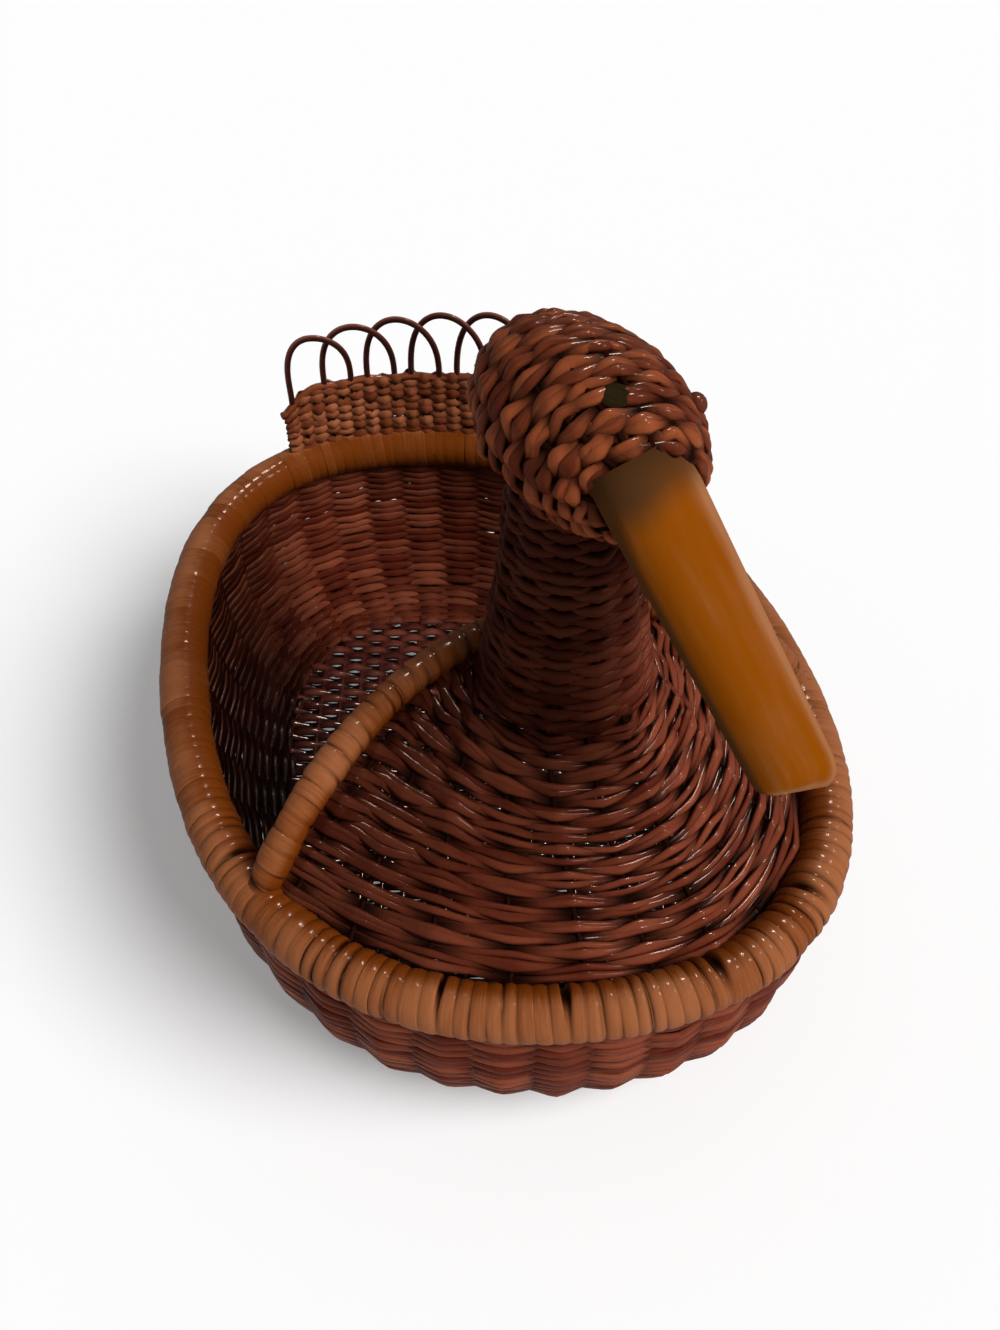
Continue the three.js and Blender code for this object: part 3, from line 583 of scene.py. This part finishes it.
def tube_arrays(rings, length, closed, **values):
    """The arrays of a tube from its rings of points, with fibres along it and values to carry."""
    count, sides = rings.shape[:2]
    i, k = np.meshgrid(np.arange(count if closed else count - 1), np.arange(sides), indexing="ij")
    j, m = (i + 1) % count, (k + 1) % sides
    quads = np.stack([i * sides + k, i * sides + m, j * sides + m, j * sides + k], -1)
    cap = np.arange(sides)
    caps = [] if closed else [cap[::-1], cap + (count - 1) * sides]
    return dict(points=rings.reshape(-1, 3), **values,
                **faces(quads, length[i], length[i + 1], k / sides, (k + 1) / sides, caps))


# %% Meshes from strands
FIBRE_SHIFT = 37.0


def strand_arrays(strands, sides):
    """The arrays of many strands as one mesh."""
    turn = np.linspace(0, 2 * np.pi, sides, endpoint=False)
    tubes, total = [], 0
    for strand in strands:
        points, closed = strand["points"], strand["closed"]
        ahead = np.roll(points, -1, 0) - np.roll(points, 1, 0) if closed else np.gradient(points, axis=0)
        ahead = unit(ahead)
        side = unit(np.cross(ahead, strand["normal"]))
        out = np.cross(side, ahead)
        rings = (points[:, None] + side[:, None] * np.outer(strand["width"], np.cos(turn))[..., None]
                 + out[:, None] * np.outer(strand["thick"], np.sin(turn))[..., None])
        steps = np.linalg.norm(np.roll(points, -1, 0) - points, axis=1)
        length = np.concatenate([[0], np.cumsum(steps)]) + FIBRE_SHIFT * strand["tone"][0]
        # Painted shade can be kept to the side of each strand that faces into the bowl.
        inside = np.clip(0.5 - 2 * np.sin(turn), 0, 1) if strand["soot_inside"] else np.ones(sides)
        tube = tube_arrays(rings, length, closed, tone=np.repeat(strand["tone"], sides),
                           crest=0.5 + 0.5 * np.outer(strand["wave"], np.sin(turn)).ravel(),
                           soot=np.outer(strand["soot"], inside).ravel())
        tube["corners"] += total
        tubes.append(tube)
        total += len(points) * sides
    return {label: np.concatenate([tube[label] for tube in tubes]) for label in tubes[0]}


def piece(name, arrays, material, slot, *nodes):
    """A named mesh from arrays, riding on the basket and standing for its solids."""
    mesh = bpy.data.meshes.new(name)
    starts = np.concatenate([[0], np.cumsum(arrays["sizes"])[:-1]])
    mesh.vertices.add(len(arrays["points"]))
    mesh.loops.add(len(arrays["corners"]))
    mesh.polygons.add(len(arrays["sizes"]))
    mesh.vertices.foreach_set("co", (arrays["points"] * MM).astype(np.float32).ravel())
    mesh.loops.foreach_set("vertex_index", arrays["corners"].astype(np.int32))
    mesh.polygons.foreach_set("loop_start", starts.astype(np.int32))
    mesh.polygons.foreach_set("use_smooth", np.ones(len(starts), bool))
    mesh.update(calc_edges=True)
    mesh.uv_layers.new(name="fibre").data.foreach_set("uv", arrays["fibre"].astype(np.float32).ravel())
    for label in ("tone", "crest", "soot"):
        values = mesh.attributes.new(label, "FLOAT", "POINT").data
        values.foreach_set("value", arrays[label].astype(np.float32))
    mesh.materials.append(material)
    made = put(name, mesh)
    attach(made, "root")
    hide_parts(*nodes)
    print(name, len(mesh.polygons), "faces")


# %% [markdown]
# ## The bowl
# The side is worked round and round with fine cane, over and under forty stakes, which gives the waves
# that show at the foot and inside. The base is a mat of straight rows, cut to the oval: rows that ran
# round would curl inside the bowl, and the photograph shows them straight.

# %% Side and stakes
STAKES = 40
CANE, STAKE_RADIUS = 1.3, 0.85
SIDE_END = 1.03


def hump(value, middle, width, power=2):
    """A smooth rise from 0 to 1 and back, round a middle."""
    return np.exp(-(((value - middle) / width) ** power))


def inside_soot(u, v):
    """Painted shade inside the bowl, deeper towards the base and deepest on the duck's right."""
    return np.maximum(0.95 * hump(u, 0.67, 0.13, 4), 0.42 * np.clip(1.1 - v, 0, 1))


side_rows = even_rows(wall, 0.0, CANE, end=SIDE_END)
side_strands = woven(wall, side_rows, STAKES, 11, lift=1.15, thick=0.65, steps=320, fill=1.6, widest=1.1,
                     wander=0.2, uneven=0.15, soot=inside_soot, soot_inside=True)
piece("side_weave", strand_arrays(side_strands, 6), wall_cane, "weave", "wall_foot", "body_wall")

spoke_nodes = [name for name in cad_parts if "_spoke_" in name]
up_wall = np.linspace(0, 1, 24)
bowl_stakes = []
for u in np.arange(STAKES) / STAKES:
    tangent = oval(2 * np.pi * u + np.pi / 2, 0, 0)
    bowl_stakes += stakes_up(wall, [u], up_wall, tangent, STAKE_RADIUS)
piece("bowl_stakes", strand_arrays(bowl_stakes, 6), stake_cane_in_shade, "spoke", *spoke_nodes)

# %% Base
MAT_TURN = math.radians(-20)
MAT_ROW, MAT_STAKE, MAT_EDGE, MAT_CANE, MAT_STAKE_TONE = 2.6, 5.8, 1.0, 0.95, 0.2
MAT_LIFT, MAT_LIFT_UNEVEN, MAT_STRAY = 0.7, 0.25, 0.22
MAT_FILL, MAT_SWELL, MAT_WANDER, MAT_WANDER_LENGTH = 0.95, 0.2, 0.08, 80


def mat_lines(pitch, turn):
    """Straight lines a pitch apart over the base: the start and end of each, its way and its place."""
    way, aside = np.array([math.cos(turn), math.sin(turn)]), np.array([-math.sin(turn), math.cos(turn)])
    edge = oval(np.linspace(0, 2 * np.pi, 720, endpoint=False), BASE_INSET - MAT_EDGE, 0)[:, :2]
    edge = np.stack([edge @ way, edge @ aside], -1)
    edge = np.roll(edge, -np.argmin(edge[:, 1]), 0)
    top = np.argmax(edge[:, 1])
    sides = edge[:top + 1], edge[top:][::-1]
    for place in np.arange(edge[0, 1] + pitch, edge[top, 1] - pitch / 2, pitch):
        start, end = sorted(np.interp(place, side[:, 1], side[:, 0]) for side in sides)
        yield start, end, way, aside * place


def base_mat(seed):
    """Straight rows over and under stakes that run across them."""
    chance = np.random.default_rng(seed)
    strands = []
    for number, (start, end, way, place) in enumerate(mat_lines(MAT_ROW, MAT_TURN)):
        along = np.linspace(start, end, max(8, int(end - start)))
        passed = along / MAT_STAKE
        wave = over_and_under(passed + number)
        floats = np.floor(passed - passed[0] + 0.5).astype(int)
        high, moved, shade = chance.normal(0, 1, (3, floats[-1] + 1))[:, floats] * np.abs(wave)
        flat = place + along[:, None] * way + (MAT_STRAY * moved)[:, None] * np.array([-way[1], way[0]])
        height = BASE_MIDDLE + MAT_LIFT * wave * (1 + MAT_LIFT_UNEVEN * high)
        width = MAT_ROW / 2 * (MAT_FILL + MAT_SWELL * np.abs(wave))
        width = width * (1 + MAT_WANDER * sway(chance, along / MAT_WANDER_LENGTH, False))
        strand = rod(np.concatenate([flat, height[:, None]], -1), MAT_CANE)
        strand.update(wave=wave, width=width, tone=strand_tone(chance, shade))
        strands.append(strand)
    for start, end, way, place in mat_lines(MAT_STAKE, MAT_TURN + np.pi / 2):
        flat = place + np.linspace(start, end, 12)[:, None] * way
        path = np.concatenate([flat, BASE_MIDDLE + 0 * flat[:, :1]], -1)
        strands.append(rod(path, STAKE_RADIUS, tone=MAT_STAKE_TONE))
    return strands


piece("base_floor", strand_arrays(base_mat(12), 8), base_cane_in_shade, "weave", "base_weave")

# %% [markdown]
# ## The bindings of the rim and the arch
# One flat cane is wound round a hoop, turn against turn. A screw modifier would give even turns, and
# the real ones vary, so the winding is written as one surface: a tube whose radius dips into a groove
# along a helix. Grid lines follow the groove, which keeps it crisp, and painted shade darkens the
# grooves. At a few places a stake passes through the binding, and the turns part there in a wedge of
# painted shade. The turns are painted lighter on the side that faces the light.

# %% Faces of a winding
GROOVE_PLACES = np.array([0, 0.05, 0.13, 0.3, 0.5, 0.7, 0.87, 0.95])
TURN_FIBRE_SHIFT, BAND_FIBRE = 13.0, 0.1


def winding_faces(turns, radius, closed, sides):
    """The faces of a winding. At the seam they go on with the turn before."""
    bands = len(GROOVE_PLACES)
    count = turns * bands + (0 if closed else 1)
    i, k = np.meshgrid(np.arange(turns * bands), np.arange(sides), indexing="ij")

    def index(row, column):
        row = row - np.where(column == sides, bands, 0)
        return (row % count if closed else np.maximum(row, 0)) * sides + column % sides

    quads = np.stack([index(i, k), index(i + 1, k), index(i + 1, k + 1), index(i, k + 1)], -1)
    near, far = (2 * np.pi * radius * (k + end) / sides + TURN_FIBRE_SHIFT * (i // bands) for end in (0, 1))
    low = i // bands + GROOVE_PLACES[i % bands]
    cap = np.arange(sides)
    caps = [] if closed else [cap, cap[::-1] + (count - 1) * sides]
    return faces(quads, near, far, low, low + BAND_FIBRE, caps)


# %% Winding
GROOVE_HEIGHTS = np.array([0, 0.2, 0.45, 0.85, 1, 0.85, 0.45, 0.2])
SLANT, SPARE_TURNS = 0.12, 2
UNEVEN_WAVES, UNEVEN_SHIFT, TURN_SHIFT = (7, 17, 29, 41), 0.05, 0.09
DENTS, DEEP_DENT, DEEP_DENT_FROM = (0.2, 0.8), 0.6, 0.75
DENT_MIDDLE, DENT_SWING, DENT_ALONG, DENT_ROUND = 0.8, 0.3, 0.37, 9
CRACK_GAIN, CRACK_FROM, CRACK_MOST = 1.6, 1.1, 0.9
WEDGE_MIDDLE, WEDGE_SPREAD, WEDGE_REACH, WEDGE_DEPTH, WEDGE_WIDTH = 0.57, 0.17, 1.4, 2.0, 0.06
WEDGE_FROM, WEDGE_TO = 0.08, 0.92
BINDING_TONE, TURN_TONE, LIT_SIDE_TONE, LIT_SIDE_EDGE = 0.42, 0.2, 0.42, 3


def wound(path, turns, radius, groove, seed, closed, sides, lit_at, roughness, wedges=(),
          strength=np.ones_like):
    """A cane wound round a path of centres and two cross directions, with its seam underneath.

    It has painted light at one share round the path. Strength says how plainly its turns show.
    """
    chance = np.random.default_rng(seed)
    bands = len(GROOVE_PLACES)
    row, turn = np.arange(turns * bands + (0 if closed else 1)), np.arange(sides) / sides
    number, height = (row // bands)[:, None], GROOVE_HEIGHTS[row % bands][:, None]
    cane = row // bands + GROOVE_PLACES[row % bands]

    def drifting(values):
        """Values of the turns. Each goes over into the one before as it nears the seam."""
        return values[number % turns] * (1 - turn) + values[(number - 1) % turns] * turn

    place = cane[:, None] - turn - SLANT * np.sin(2 * np.pi * turn)
    waves = zip(UNEVEN_WAVES, chance.uniform(0, FULL_TURN, len(UNEVEN_WAVES)))
    uneven = sum(np.sin(2 * np.pi * wave * place / turns + phase) for wave, phase in waves)
    drawn = turns + SPARE_TURNS
    per_turn = drifting(chance.normal(0, 1, drawn))
    place = place + UNEVEN_SHIFT * uneven + drifting(chance.normal(0, TURN_SHIFT, drawn))
    dents = chance.uniform(*DENTS, drawn) + DEEP_DENT * (chance.uniform(0, 1, drawn) > DEEP_DENT_FROM)
    swing = DENT_SWING * np.sin(2 * np.pi * place * DENT_ALONG + DENT_ROUND * turn)
    dents = drifting(dents) * (DENT_MIDDLE + swing) * strength(place / turns)
    crest = 1 - (1 - height) * dents
    # Painted shade in the deepest grooves, which are also cut deeper, as cracks.
    crack = np.clip(CRACK_GAIN * dents - CRACK_FROM, 0, CRACK_MOST) * (height == 0)
    lift = radius - groove * (1 - crest) + roughness * per_turn - groove * crack
    for at, opening in wedges:
        near = cane - round(at * turns)
        window = hump(turn, WEDGE_MIDDLE, WEDGE_SPREAD) * (turn > WEDGE_FROM) * (turn < WEDGE_TO)
        place = place + opening * window * (np.sign(near) * np.exp(-np.abs(near) / WEDGE_REACH))[:, None]
        # A wedge is sunk and filled with painted shade.
        sunk = (np.abs(near) < WEDGE_WIDTH)[:, None] * window
        lift = lift - WEDGE_DEPTH * groove * sunk
        crest = crest * (1 - sunk)
        crack = np.maximum(crack, sunk)
    centre, first, second = path(place / turns % 1.0 if closed else np.clip(place / turns, 0, 1))
    angle = 2 * np.pi * turn[:, None]
    points = centre + lift[..., None] * (np.sin(angle) * first - np.cos(angle) * second)
    # Painted light: each turn is lighter on the side that faces the light and darker opposite.
    lit_side = np.tanh(LIT_SIDE_EDGE * np.cos(2 * np.pi * (turn - lit_at)))
    tone = np.clip(BINDING_TONE + TURN_TONE * per_turn + LIT_SIDE_TONE * lit_side, 0, 1)
    return dict(points=points.reshape(-1, 3), tone=tone.ravel(), crest=np.where(crack > 0, 1, crest).ravel(),
                soot=crack.ravel(), **winding_faces(turns, radius, closed, sides))


# %% Rim
LENGTH_SAMPLES = 1600
RIM_TURNS, RIM_GROOVE, RIM_GROOVE_BEHIND = 172, 0.75, 0.22
PLAIN_LEFT, LEFT_FADE, PLAIN_RIGHT, RIGHT_FADE = 0.15, 0.04, 0.25, 0.06
WEDGES = ((-72, 0.28), (-35.7, 0.12), (-16.5, 0.24), (7.3, 0.34), (28.7, 0.3))
rim_shares, rim_parts, rim_length = reached(
    lambda share: oval(2 * np.pi * share, 0, RIM_HEIGHT), samples=LENGTH_SAMPLES)
rim_wedges = [(np.interp(angle / 360 % 1, rim_shares, rim_parts), opening) for angle, opening in WEDGES]


def rim_path(share):
    """Centres at shares of the rim's length, with the ways outward and up."""
    angle = 2 * np.pi * np.interp(share, rim_parts, rim_shares)
    along = unit(oval(angle + NUDGE, 0, 0) - oval(angle - NUDGE, 0, 0))
    return oval(angle, 0, RIM_HEIGHT), np.cross(along, UP), UP


def rim_strength(share):
    """The turns show plainly round the breast and lie almost closed round the back."""
    from_front = (share + 0.5) % 1.0 - 0.5
    plain = np.minimum((PLAIN_LEFT - from_front) / LEFT_FADE, (from_front + PLAIN_RIGHT) / RIGHT_FADE)
    return RIM_GROOVE_BEHIND + (1 - RIM_GROOVE_BEHIND) * np.clip(plain, 0, 1)


rim_arrays = wound(rim_path, RIM_TURNS, RIM_RADIUS, RIM_GROOVE, 21, True, sides=30, lit_at=0.27,
                   roughness=0.12, wedges=rim_wedges, strength=rim_strength)
piece("rim_binding", rim_arrays, binding_cane, "binding", "rim_wrap")
print("rim cane in mm:", round(rim_length / RIM_TURNS, 2))

# %% Arch
ARCH_TURNS, ARCH_GROOVE, ARCH_TONE_SCALE = 44, 0.6, 0.72
BACK = np.array([0.0, 1.0, 0.0])


def arch_curve(share):
    """The whole arch, from its foot on the duck's right to the one on its left."""
    share = np.asarray(share, float)
    right, left = arch_half(-1, np.clip(2 * share, 0, 1)), arch_half(1, np.clip(2 - 2 * share, 0, 1))
    return np.where(share[..., None] < 0.5, right, left)


arch_shares, arch_parts, arch_length = reached(arch_curve, samples=LENGTH_SAMPLES)


def arch_path(share):
    """Centres at shares of the arch's length, with the ways back and outward."""
    at = np.interp(share, arch_parts, arch_shares)
    along = unit(arch_curve(np.clip(at + NUDGE, 0, 1)) - arch_curve(np.clip(at - NUDGE, 0, 1)))
    back = unit(BACK - along * along[..., 1:2])
    return arch_curve(at), back, np.cross(along, back)


arch_arrays = wound(arch_path, ARCH_TURNS, ARCH_RADIUS, ARCH_GROOVE, 22, False, sides=24, lit_at=0.5,
                    roughness=0.15)
# The arch's tone, and the painted light in it, is scaled down.
arch_arrays["tone"] *= ARCH_TONE_SCALE
piece("arch_binding", arch_arrays, binding_cane, "binding", "arch_wrap")
print("arch cane in mm:", round(arch_length / ARCH_TURNS, 2))

# %% Hoops inside the bindings
HOOPS = "rim_hoop", "arch_hoop"
for name in HOOPS:
    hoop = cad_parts[name].data
    hoop.materials.clear()
    hoop.materials.append(hoop_wood)
print("hoops in bare wood:", *HOOPS)

# %% [markdown]
# ## Breast and neck
# The breast is worked with pairs of fine strands on stakes that fan out from the neck to the rim. It is
# drawn straight between every second stake, which gives it ribs, and the rows spread towards the arch,
# so that dark slots open there. The breast has painted shade on the side turned from the light. The neck
# is a tube of single strands and has the deepest painted shade, from the head above it. One surface could
# serve for both, but the breast's rows end at the arch and the neck's run right round.

# %% Breast
BREAST_RIBS, BREAST_FIRST_RIB, BREAST_RIB_RISE = 6.25, 0.08, 1.6
BREAST_STAKES, BREAST_PITCH, BREAST_FIRST_ROW = 2 * BREAST_RIBS, 1.2, 0.09


def ribbed_breast(u, v):
    """The breast, drawn straight between every second stake."""
    bay = (u - BREAST_FIRST_RIB) * BREAST_RIBS % 1.0 - 0.5
    along = breast(u + NUDGE, v) - breast(u - NUDGE, v)
    out = unit(np.cross(along, breast(u, v + NUDGE) - breast(u, v - NUDGE)))
    return breast(u, v) - out * (BREAST_RIB_RISE * (1 - 4 * bay**2))[..., None]


def under_breast(u, v):
    """A stake's radius below the ribbed breast."""
    return ribbed_breast(u, v) - UP * FINE_STAKE


def breast_soot(u, v):
    """Painted shade on the side turned from the light and on most of the breast by the neck."""
    near_neck = np.clip((v - 0.55) / 0.3, 0, 1) * (1 - hump(u, 0.64, 0.07))
    return np.maximum(0.6 * hump(u, 0.1, 0.22), 0.55 * near_neck)


breast_rows = even_rows(breast, 0.5, BREAST_PITCH, start=BREAST_FIRST_ROW)
breast_strands = woven(ribbed_breast, breast_rows, BREAST_STAKES, 31, lift=0.8, thick=0.55, steps=220,
                       fill=1.3, widest=1.05, wander=0.5, uneven=0.3, swell=0.3, closed=False, together=2,
                       spread=0.45, first=BREAST_FIRST_RIB, reach=(0.012, 0.988), soot=breast_soot)
piece("breast_rows", strand_arrays(breast_strands, 6), breast_cane, "weave", "breast_weave")
climb = np.linspace(0.03, 1.0, 30)
breast_places = BREAST_FIRST_RIB + np.arange(int(BREAST_STAKES)) / BREAST_STAKES
breast_stakes = stakes_up(under_breast, breast_places, climb, FACING)
piece("breast_stakes", strand_arrays(breast_stakes, 6), stake_cane_in_shade, "spoke")

# %% Neck
NECK_STAKES, NECK_PITCH, NECK_FIRST_ROW = 12, 1.55, -0.06


def neck_soot(u, v):
    """Painted shade over the neck from the head, but for a lit patch at its foot on the duck's left."""
    return 0.66 - 0.5 * hump(u, 0.14, 0.08) * np.clip((0.5 - v) / 0.4, 0, 1)


neck_rows = even_rows(neck, 0.0, NECK_PITCH, start=NECK_FIRST_ROW)
neck_strands = woven(neck, neck_rows, NECK_STAKES, 32, lift=0.75, thick=0.8, steps=144, fill=1.45,
                     widest=1.3, wander=0.35, uneven=0.25, swell=0.5, soot=neck_soot)
piece("neck_rows", strand_arrays(neck_strands, 6), breast_cane, "weave", "neck_weave")
neck_stakes = stakes_up(neck, np.arange(NECK_STAKES) / NECK_STAKES, climb, FACING)
piece("neck_stakes", strand_arrays(neck_stakes, 6), stake_cane_in_shade, "spoke")

# %% [markdown]
# ## Head, bill and eyes
# The head's rows are pairs of fine strands that run round the line of the bill. They lie flat on the
# crown and stand out in lumps on the duck's right cheek. The bill is a slip of ochre wood, crowned on
# top, with painted shade underneath, a painted tan sheen on the duck's left and a painted highlight at
# its blunt tip. A block with a bevel could give it, but rings of points can also carry the stain and the
# painted light. The eyes are beads: the right one is sunk between the strands, and the left one stands
# out as a small brown bump.

# %% Head weave
HEAD_STAKES, HEAD_PITCH, HEAD_FIRST_ROW, HEAD_LAST_STAKE = 16, 1.38, 0.02, 0.97


def head_lift(u):
    """The rows lie flat on the crown and stand out in lumps on the duck's right cheek."""
    return 0.42 + 0.78 * hump(u, 0.27, 0.15)


head_rows = even_rows(head, 0.0, HEAD_PITCH, start=HEAD_FIRST_ROW)
head_strands = woven(head, head_rows, HEAD_STAKES, 41, lift=head_lift, thick=0.8, steps=300, fill=1.5,
                     widest=1.4, wander=0.55, uneven=0.36, swell=0.3, together=2, spread=0.65)
piece("head_rows", strand_arrays(head_strands, 8), head_cane, "weave", "head_weave")
to_back = np.linspace(0, HEAD_LAST_STAKE, 30)
head_stakes = stakes_up(head, np.arange(HEAD_STAKES) / HEAD_STAKES, to_back, UP)
piece("head_stakes", strand_arrays(head_stakes, 6), stake_cane_in_shade, "spoke")

# %% Bill
BILL_LENGTH, BILL_ROOT_WIDTH, BILL_TIP_WIDTH, BILL_THICKNESS = 57.0, 20.0, 16.0, 11.0
BILL_CROWN, BILL_TENON, BILL_SKEW, BILL_EDGE, BILL_TOP = 0.62, 7.0, 5.0, 0.8, 0.86
BILL_TIP_FROM, BILL_END_FROM = 0.86, 0.9
BILL_END_WIDTH, BILL_END_THICKNESS = (4.5, 0.74), (2.4, 0.2)
BILL_TONE, BILL_LIGHT, BILL_UNDERSIDE_SHADE = 0.14, 0.7, 0.95
bill_wood = varnished("bill_wood", (74, 46, 24), (129, 66, 6), (150, 99, 64), along=0.05, across=18.0,
                      depth=0.7, coat=0.0, bump=0.12, patch_size=30.0)


def closing(share, power, least):
    """1 along the bill, and less towards the very end. A higher power leaves squarer corners."""
    end = np.clip((share - BILL_END_FROM) / (1 - BILL_END_FROM), 0, 1)
    return np.maximum((1 - end**power) ** (1 / power), least)


def bill_arrays(stations=26, tip_stations=17, sides=32):
    """Rings from the tenon in the head to the tip, which is longer on the duck's left."""
    tip = np.sin(np.linspace(0.09, np.pi / 2, tip_stations))
    along = np.concatenate([[-BILL_TENON], np.linspace(-1, BILL_TIP_FROM * BILL_LENGTH, stations),
                            BILL_LENGTH * (BILL_TIP_FROM + (1 - BILL_TIP_FROM) * tip)])
    share = np.clip(along / BILL_LENGTH, 0, 1)
    width = (BILL_ROOT_WIDTH + (BILL_TIP_WIDTH - BILL_ROOT_WIDTH) * share) * closing(share, *BILL_END_WIDTH)
    thick = BILL_THICKNESS * closing(share, *BILL_END_THICKNESS)
    turn = np.linspace(0, 2 * np.pi, sides, endpoint=False)
    cos, sin = np.cos(turn), np.sin(turn)
    across = np.sign(cos) * np.abs(cos) ** BILL_EDGE
    upward = np.sign(sin) * np.abs(sin) ** BILL_TOP * np.where(sin > 0, BILL_CROWN, 1 - BILL_CROWN)
    longer = BILL_SKEW * np.outer(share**3, 0.5 + 0.5 * across)
    crown = unit(np.cross(bill_way, HEAD_ACROSS))
    rings = (bill_root + bill_way * (along[:, None] + longer)[..., None]
             + HEAD_ACROSS * np.outer(width / 2, across)[..., None]
             + crown * np.outer(thick, upward)[..., None])
    clear_of_head = np.clip((along[:, None] + 3.0 + 2.0 * cos + 0.6 * np.sin(5 * turn)) / 12.0, 0, 1)
    # Painted shade on the underside, reaching up the duck's right flank.
    underside_shade = np.clip((0.3 - sin - np.maximum(cos, 0)) / 0.2, 0, 1)
    crest = clear_of_head * (1 - BILL_UNDERSIDE_SHADE * underside_shade)
    # Painted light: a tan sheen on the flank on the duck's left, and a painted highlight along the tip.
    lit_flank = np.clip((cos - 0.25) / 0.3, 0, 1) * (sin > -0.5)
    tip_highlight = np.clip((share - 0.97) / 0.02, 0, 1)[:, None]
    tone = BILL_TONE + BILL_LIGHT * np.maximum(lit_flank, tip_highlight)
    return tube_arrays(rings, along, False, tone=tone.ravel(), crest=crest.ravel(), soot=np.zeros(crest.size))


piece("bill_slip", bill_arrays(), bill_wood, "bill", "bill")

# %% Eyes
BEAD_ACROSS, BEAD_UP, BEAD_POLE, BEAD_TONE, BEAD_FIBRE = 1.12, 0.9, 0.06, 0.4, 0.25
bead_brown = varnished("bead_brown", (30, 12, 8), (86, 40, 26), (120, 62, 40), along=0.2, across=5.0)
bead_black = varnished("bead_black", (10, 8, 5), (30, 24, 12), (52, 38, 20), along=0.2, across=5.0, coat=0.0)
EYES = dict(
    eye_left=(bead_brown, dict(turn=46, rise=26, radius=2.2, dome=1.9, proud=-0.6)),
    eye_right=(bead_black, dict(turn=-31, rise=60, radius=2.7, dome=0.8, proud=-1.05)),
)


def bead_arrays(turn, rise, radius, dome, proud, rings=10, sides=20):
    """A flat bead at a turn and a rise on the head, in degrees. Its fibres run round it."""
    turn, rise = math.radians(turn), math.radians(rise)
    way = np.array([math.sin(turn) * math.cos(rise), -math.cos(turn) * math.cos(rise), math.sin(rise)])
    seat = way / np.linalg.norm(way / HEAD_HALF)
    out = HEAD_POSE @ unit(seat / HEAD_HALF**2)
    across = unit(np.cross(out, UP))
    up = np.cross(across, out)
    tilt = np.linspace(np.pi - BEAD_POLE, BEAD_POLE, rings)[:, None, None]
    angle = np.linspace(0, 2 * np.pi, sides, endpoint=False)[:, None]
    edge = across * np.cos(angle) * BEAD_ACROSS + up * np.sin(angle) * BEAD_UP
    middle = HEAD_CENTRE + HEAD_POSE @ seat + out * proud
    points = middle + out * dome * np.cos(tilt) + edge * radius * np.sin(tilt)
    count = rings * sides
    arrays = tube_arrays(points, BEAD_FIBRE * np.arange(rings)[::-1], False, tone=np.full(count, BEAD_TONE),
                         crest=np.ones(count), soot=np.zeros(count))
    arrays["fibre"] = arrays["fibre"][:, ::-1] * [BEAD_FIBRE * sides, 1]
    return arrays


for name, (finish, shape) in EYES.items():
    piece(f"{name}_bead", bead_arrays(**shape), finish, "eye", name)

# %% [markdown]
# ## Tail
# The tail is a low woven panel on the back of the rim, with a border cane along its top and five
# overlapping loops of round cane. A loop could be a curve object with a bevel. Here it is one more
# strand, so that it carries the same maps as the weave, and both its ends run down inside the panel.

# %% Tail panel
TAIL_STAKES, TAIL_PITCH, TAIL_STAKE_RADIUS, TAIL_STAKE_NORMAL = 18, 1.45, 0.7, (0.3, 1, 0)
BORDER_RADIUS, BORDER_TONE, BORDER_WAVE = 1.15, 0.3, 0.02
tail_rows = even_rows(tail, 0.5, TAIL_PITCH)
tail_strands = woven(tail, tail_rows, TAIL_STAKES, 51, lift=0.85, thick=0.7, steps=190, fill=1.65,
                     widest=1.35, wander=0.4, uneven=0.3, closed=False, first=0.5 / TAIL_STAKES,
                     reach=(-0.025, 1.0))
stand = np.linspace(0, 1, 8)
tail_places = (np.arange(TAIL_STAKES) + 0.5) / TAIL_STAKES
tail_strands += stakes_up(tail, tail_places, stand, TAIL_STAKE_NORMAL, TAIL_STAKE_RADIUS)
along_top = np.linspace(-0.045, 1.015, 60)
border = tail(along_top, 1.0 + BORDER_WAVE * np.sin(31 * along_top))
tail_strands.append(rod(border, BORDER_RADIUS, tone=BORDER_TONE))
piece("tail_panel", strand_arrays(tail_strands, 8), tail_cane, "weave", "tail_weave")

# %% Tail loops
LOOP_COUNT, LOOP_SPACING, LOOP_WIDTH, LAST_LOOP_SHARE = 5, math.radians(10.2), math.radians(16.5), 0.76
LOOP_TOP, LOOP_TOP_FALL, LOOP_RADIUS, LOOP_SEAT = 101.5, 1.2, 0.9, TAIL_TOP - 13.0
LOOP_FULLNESS, LOOP_CROSSING = 0.7, 1.6
bow = np.linspace(0, np.pi, 40)
crossing = LOOP_CROSSING * np.sin(2 * bow)
for number in range(LOOP_COUNT):
    from_middle = number - (LOOP_COUNT - 1) / 2
    middle = TAIL_ANGLE + from_middle * LOOP_SPACING
    drawn_in = (number == LOOP_COUNT - 1) & (np.cos(bow) < 0)
    angle = middle - LOOP_WIDTH / 2 * np.cos(bow) * np.where(drawn_in, LAST_LOOP_SHARE, 1.0)
    height = TAIL_TOP + (LOOP_TOP - TAIL_TOP - from_middle * LOOP_TOP_FALL) * np.sin(bow) ** LOOP_FULLNESS
    path = np.concatenate([oval(angle[:1], 0, LOOP_SEAT), oval(angle, crossing, height),
                           oval(angle[-1:], 0, LOOP_SEAT)])
    loop = rod(path, LOOP_RADIUS, oval(middle, 0, 0))
    piece(f"tail_hoop_{number + 1}", strand_arrays([loop], 10), loop_cane, "loop", f"tail_loop_{number + 1}")
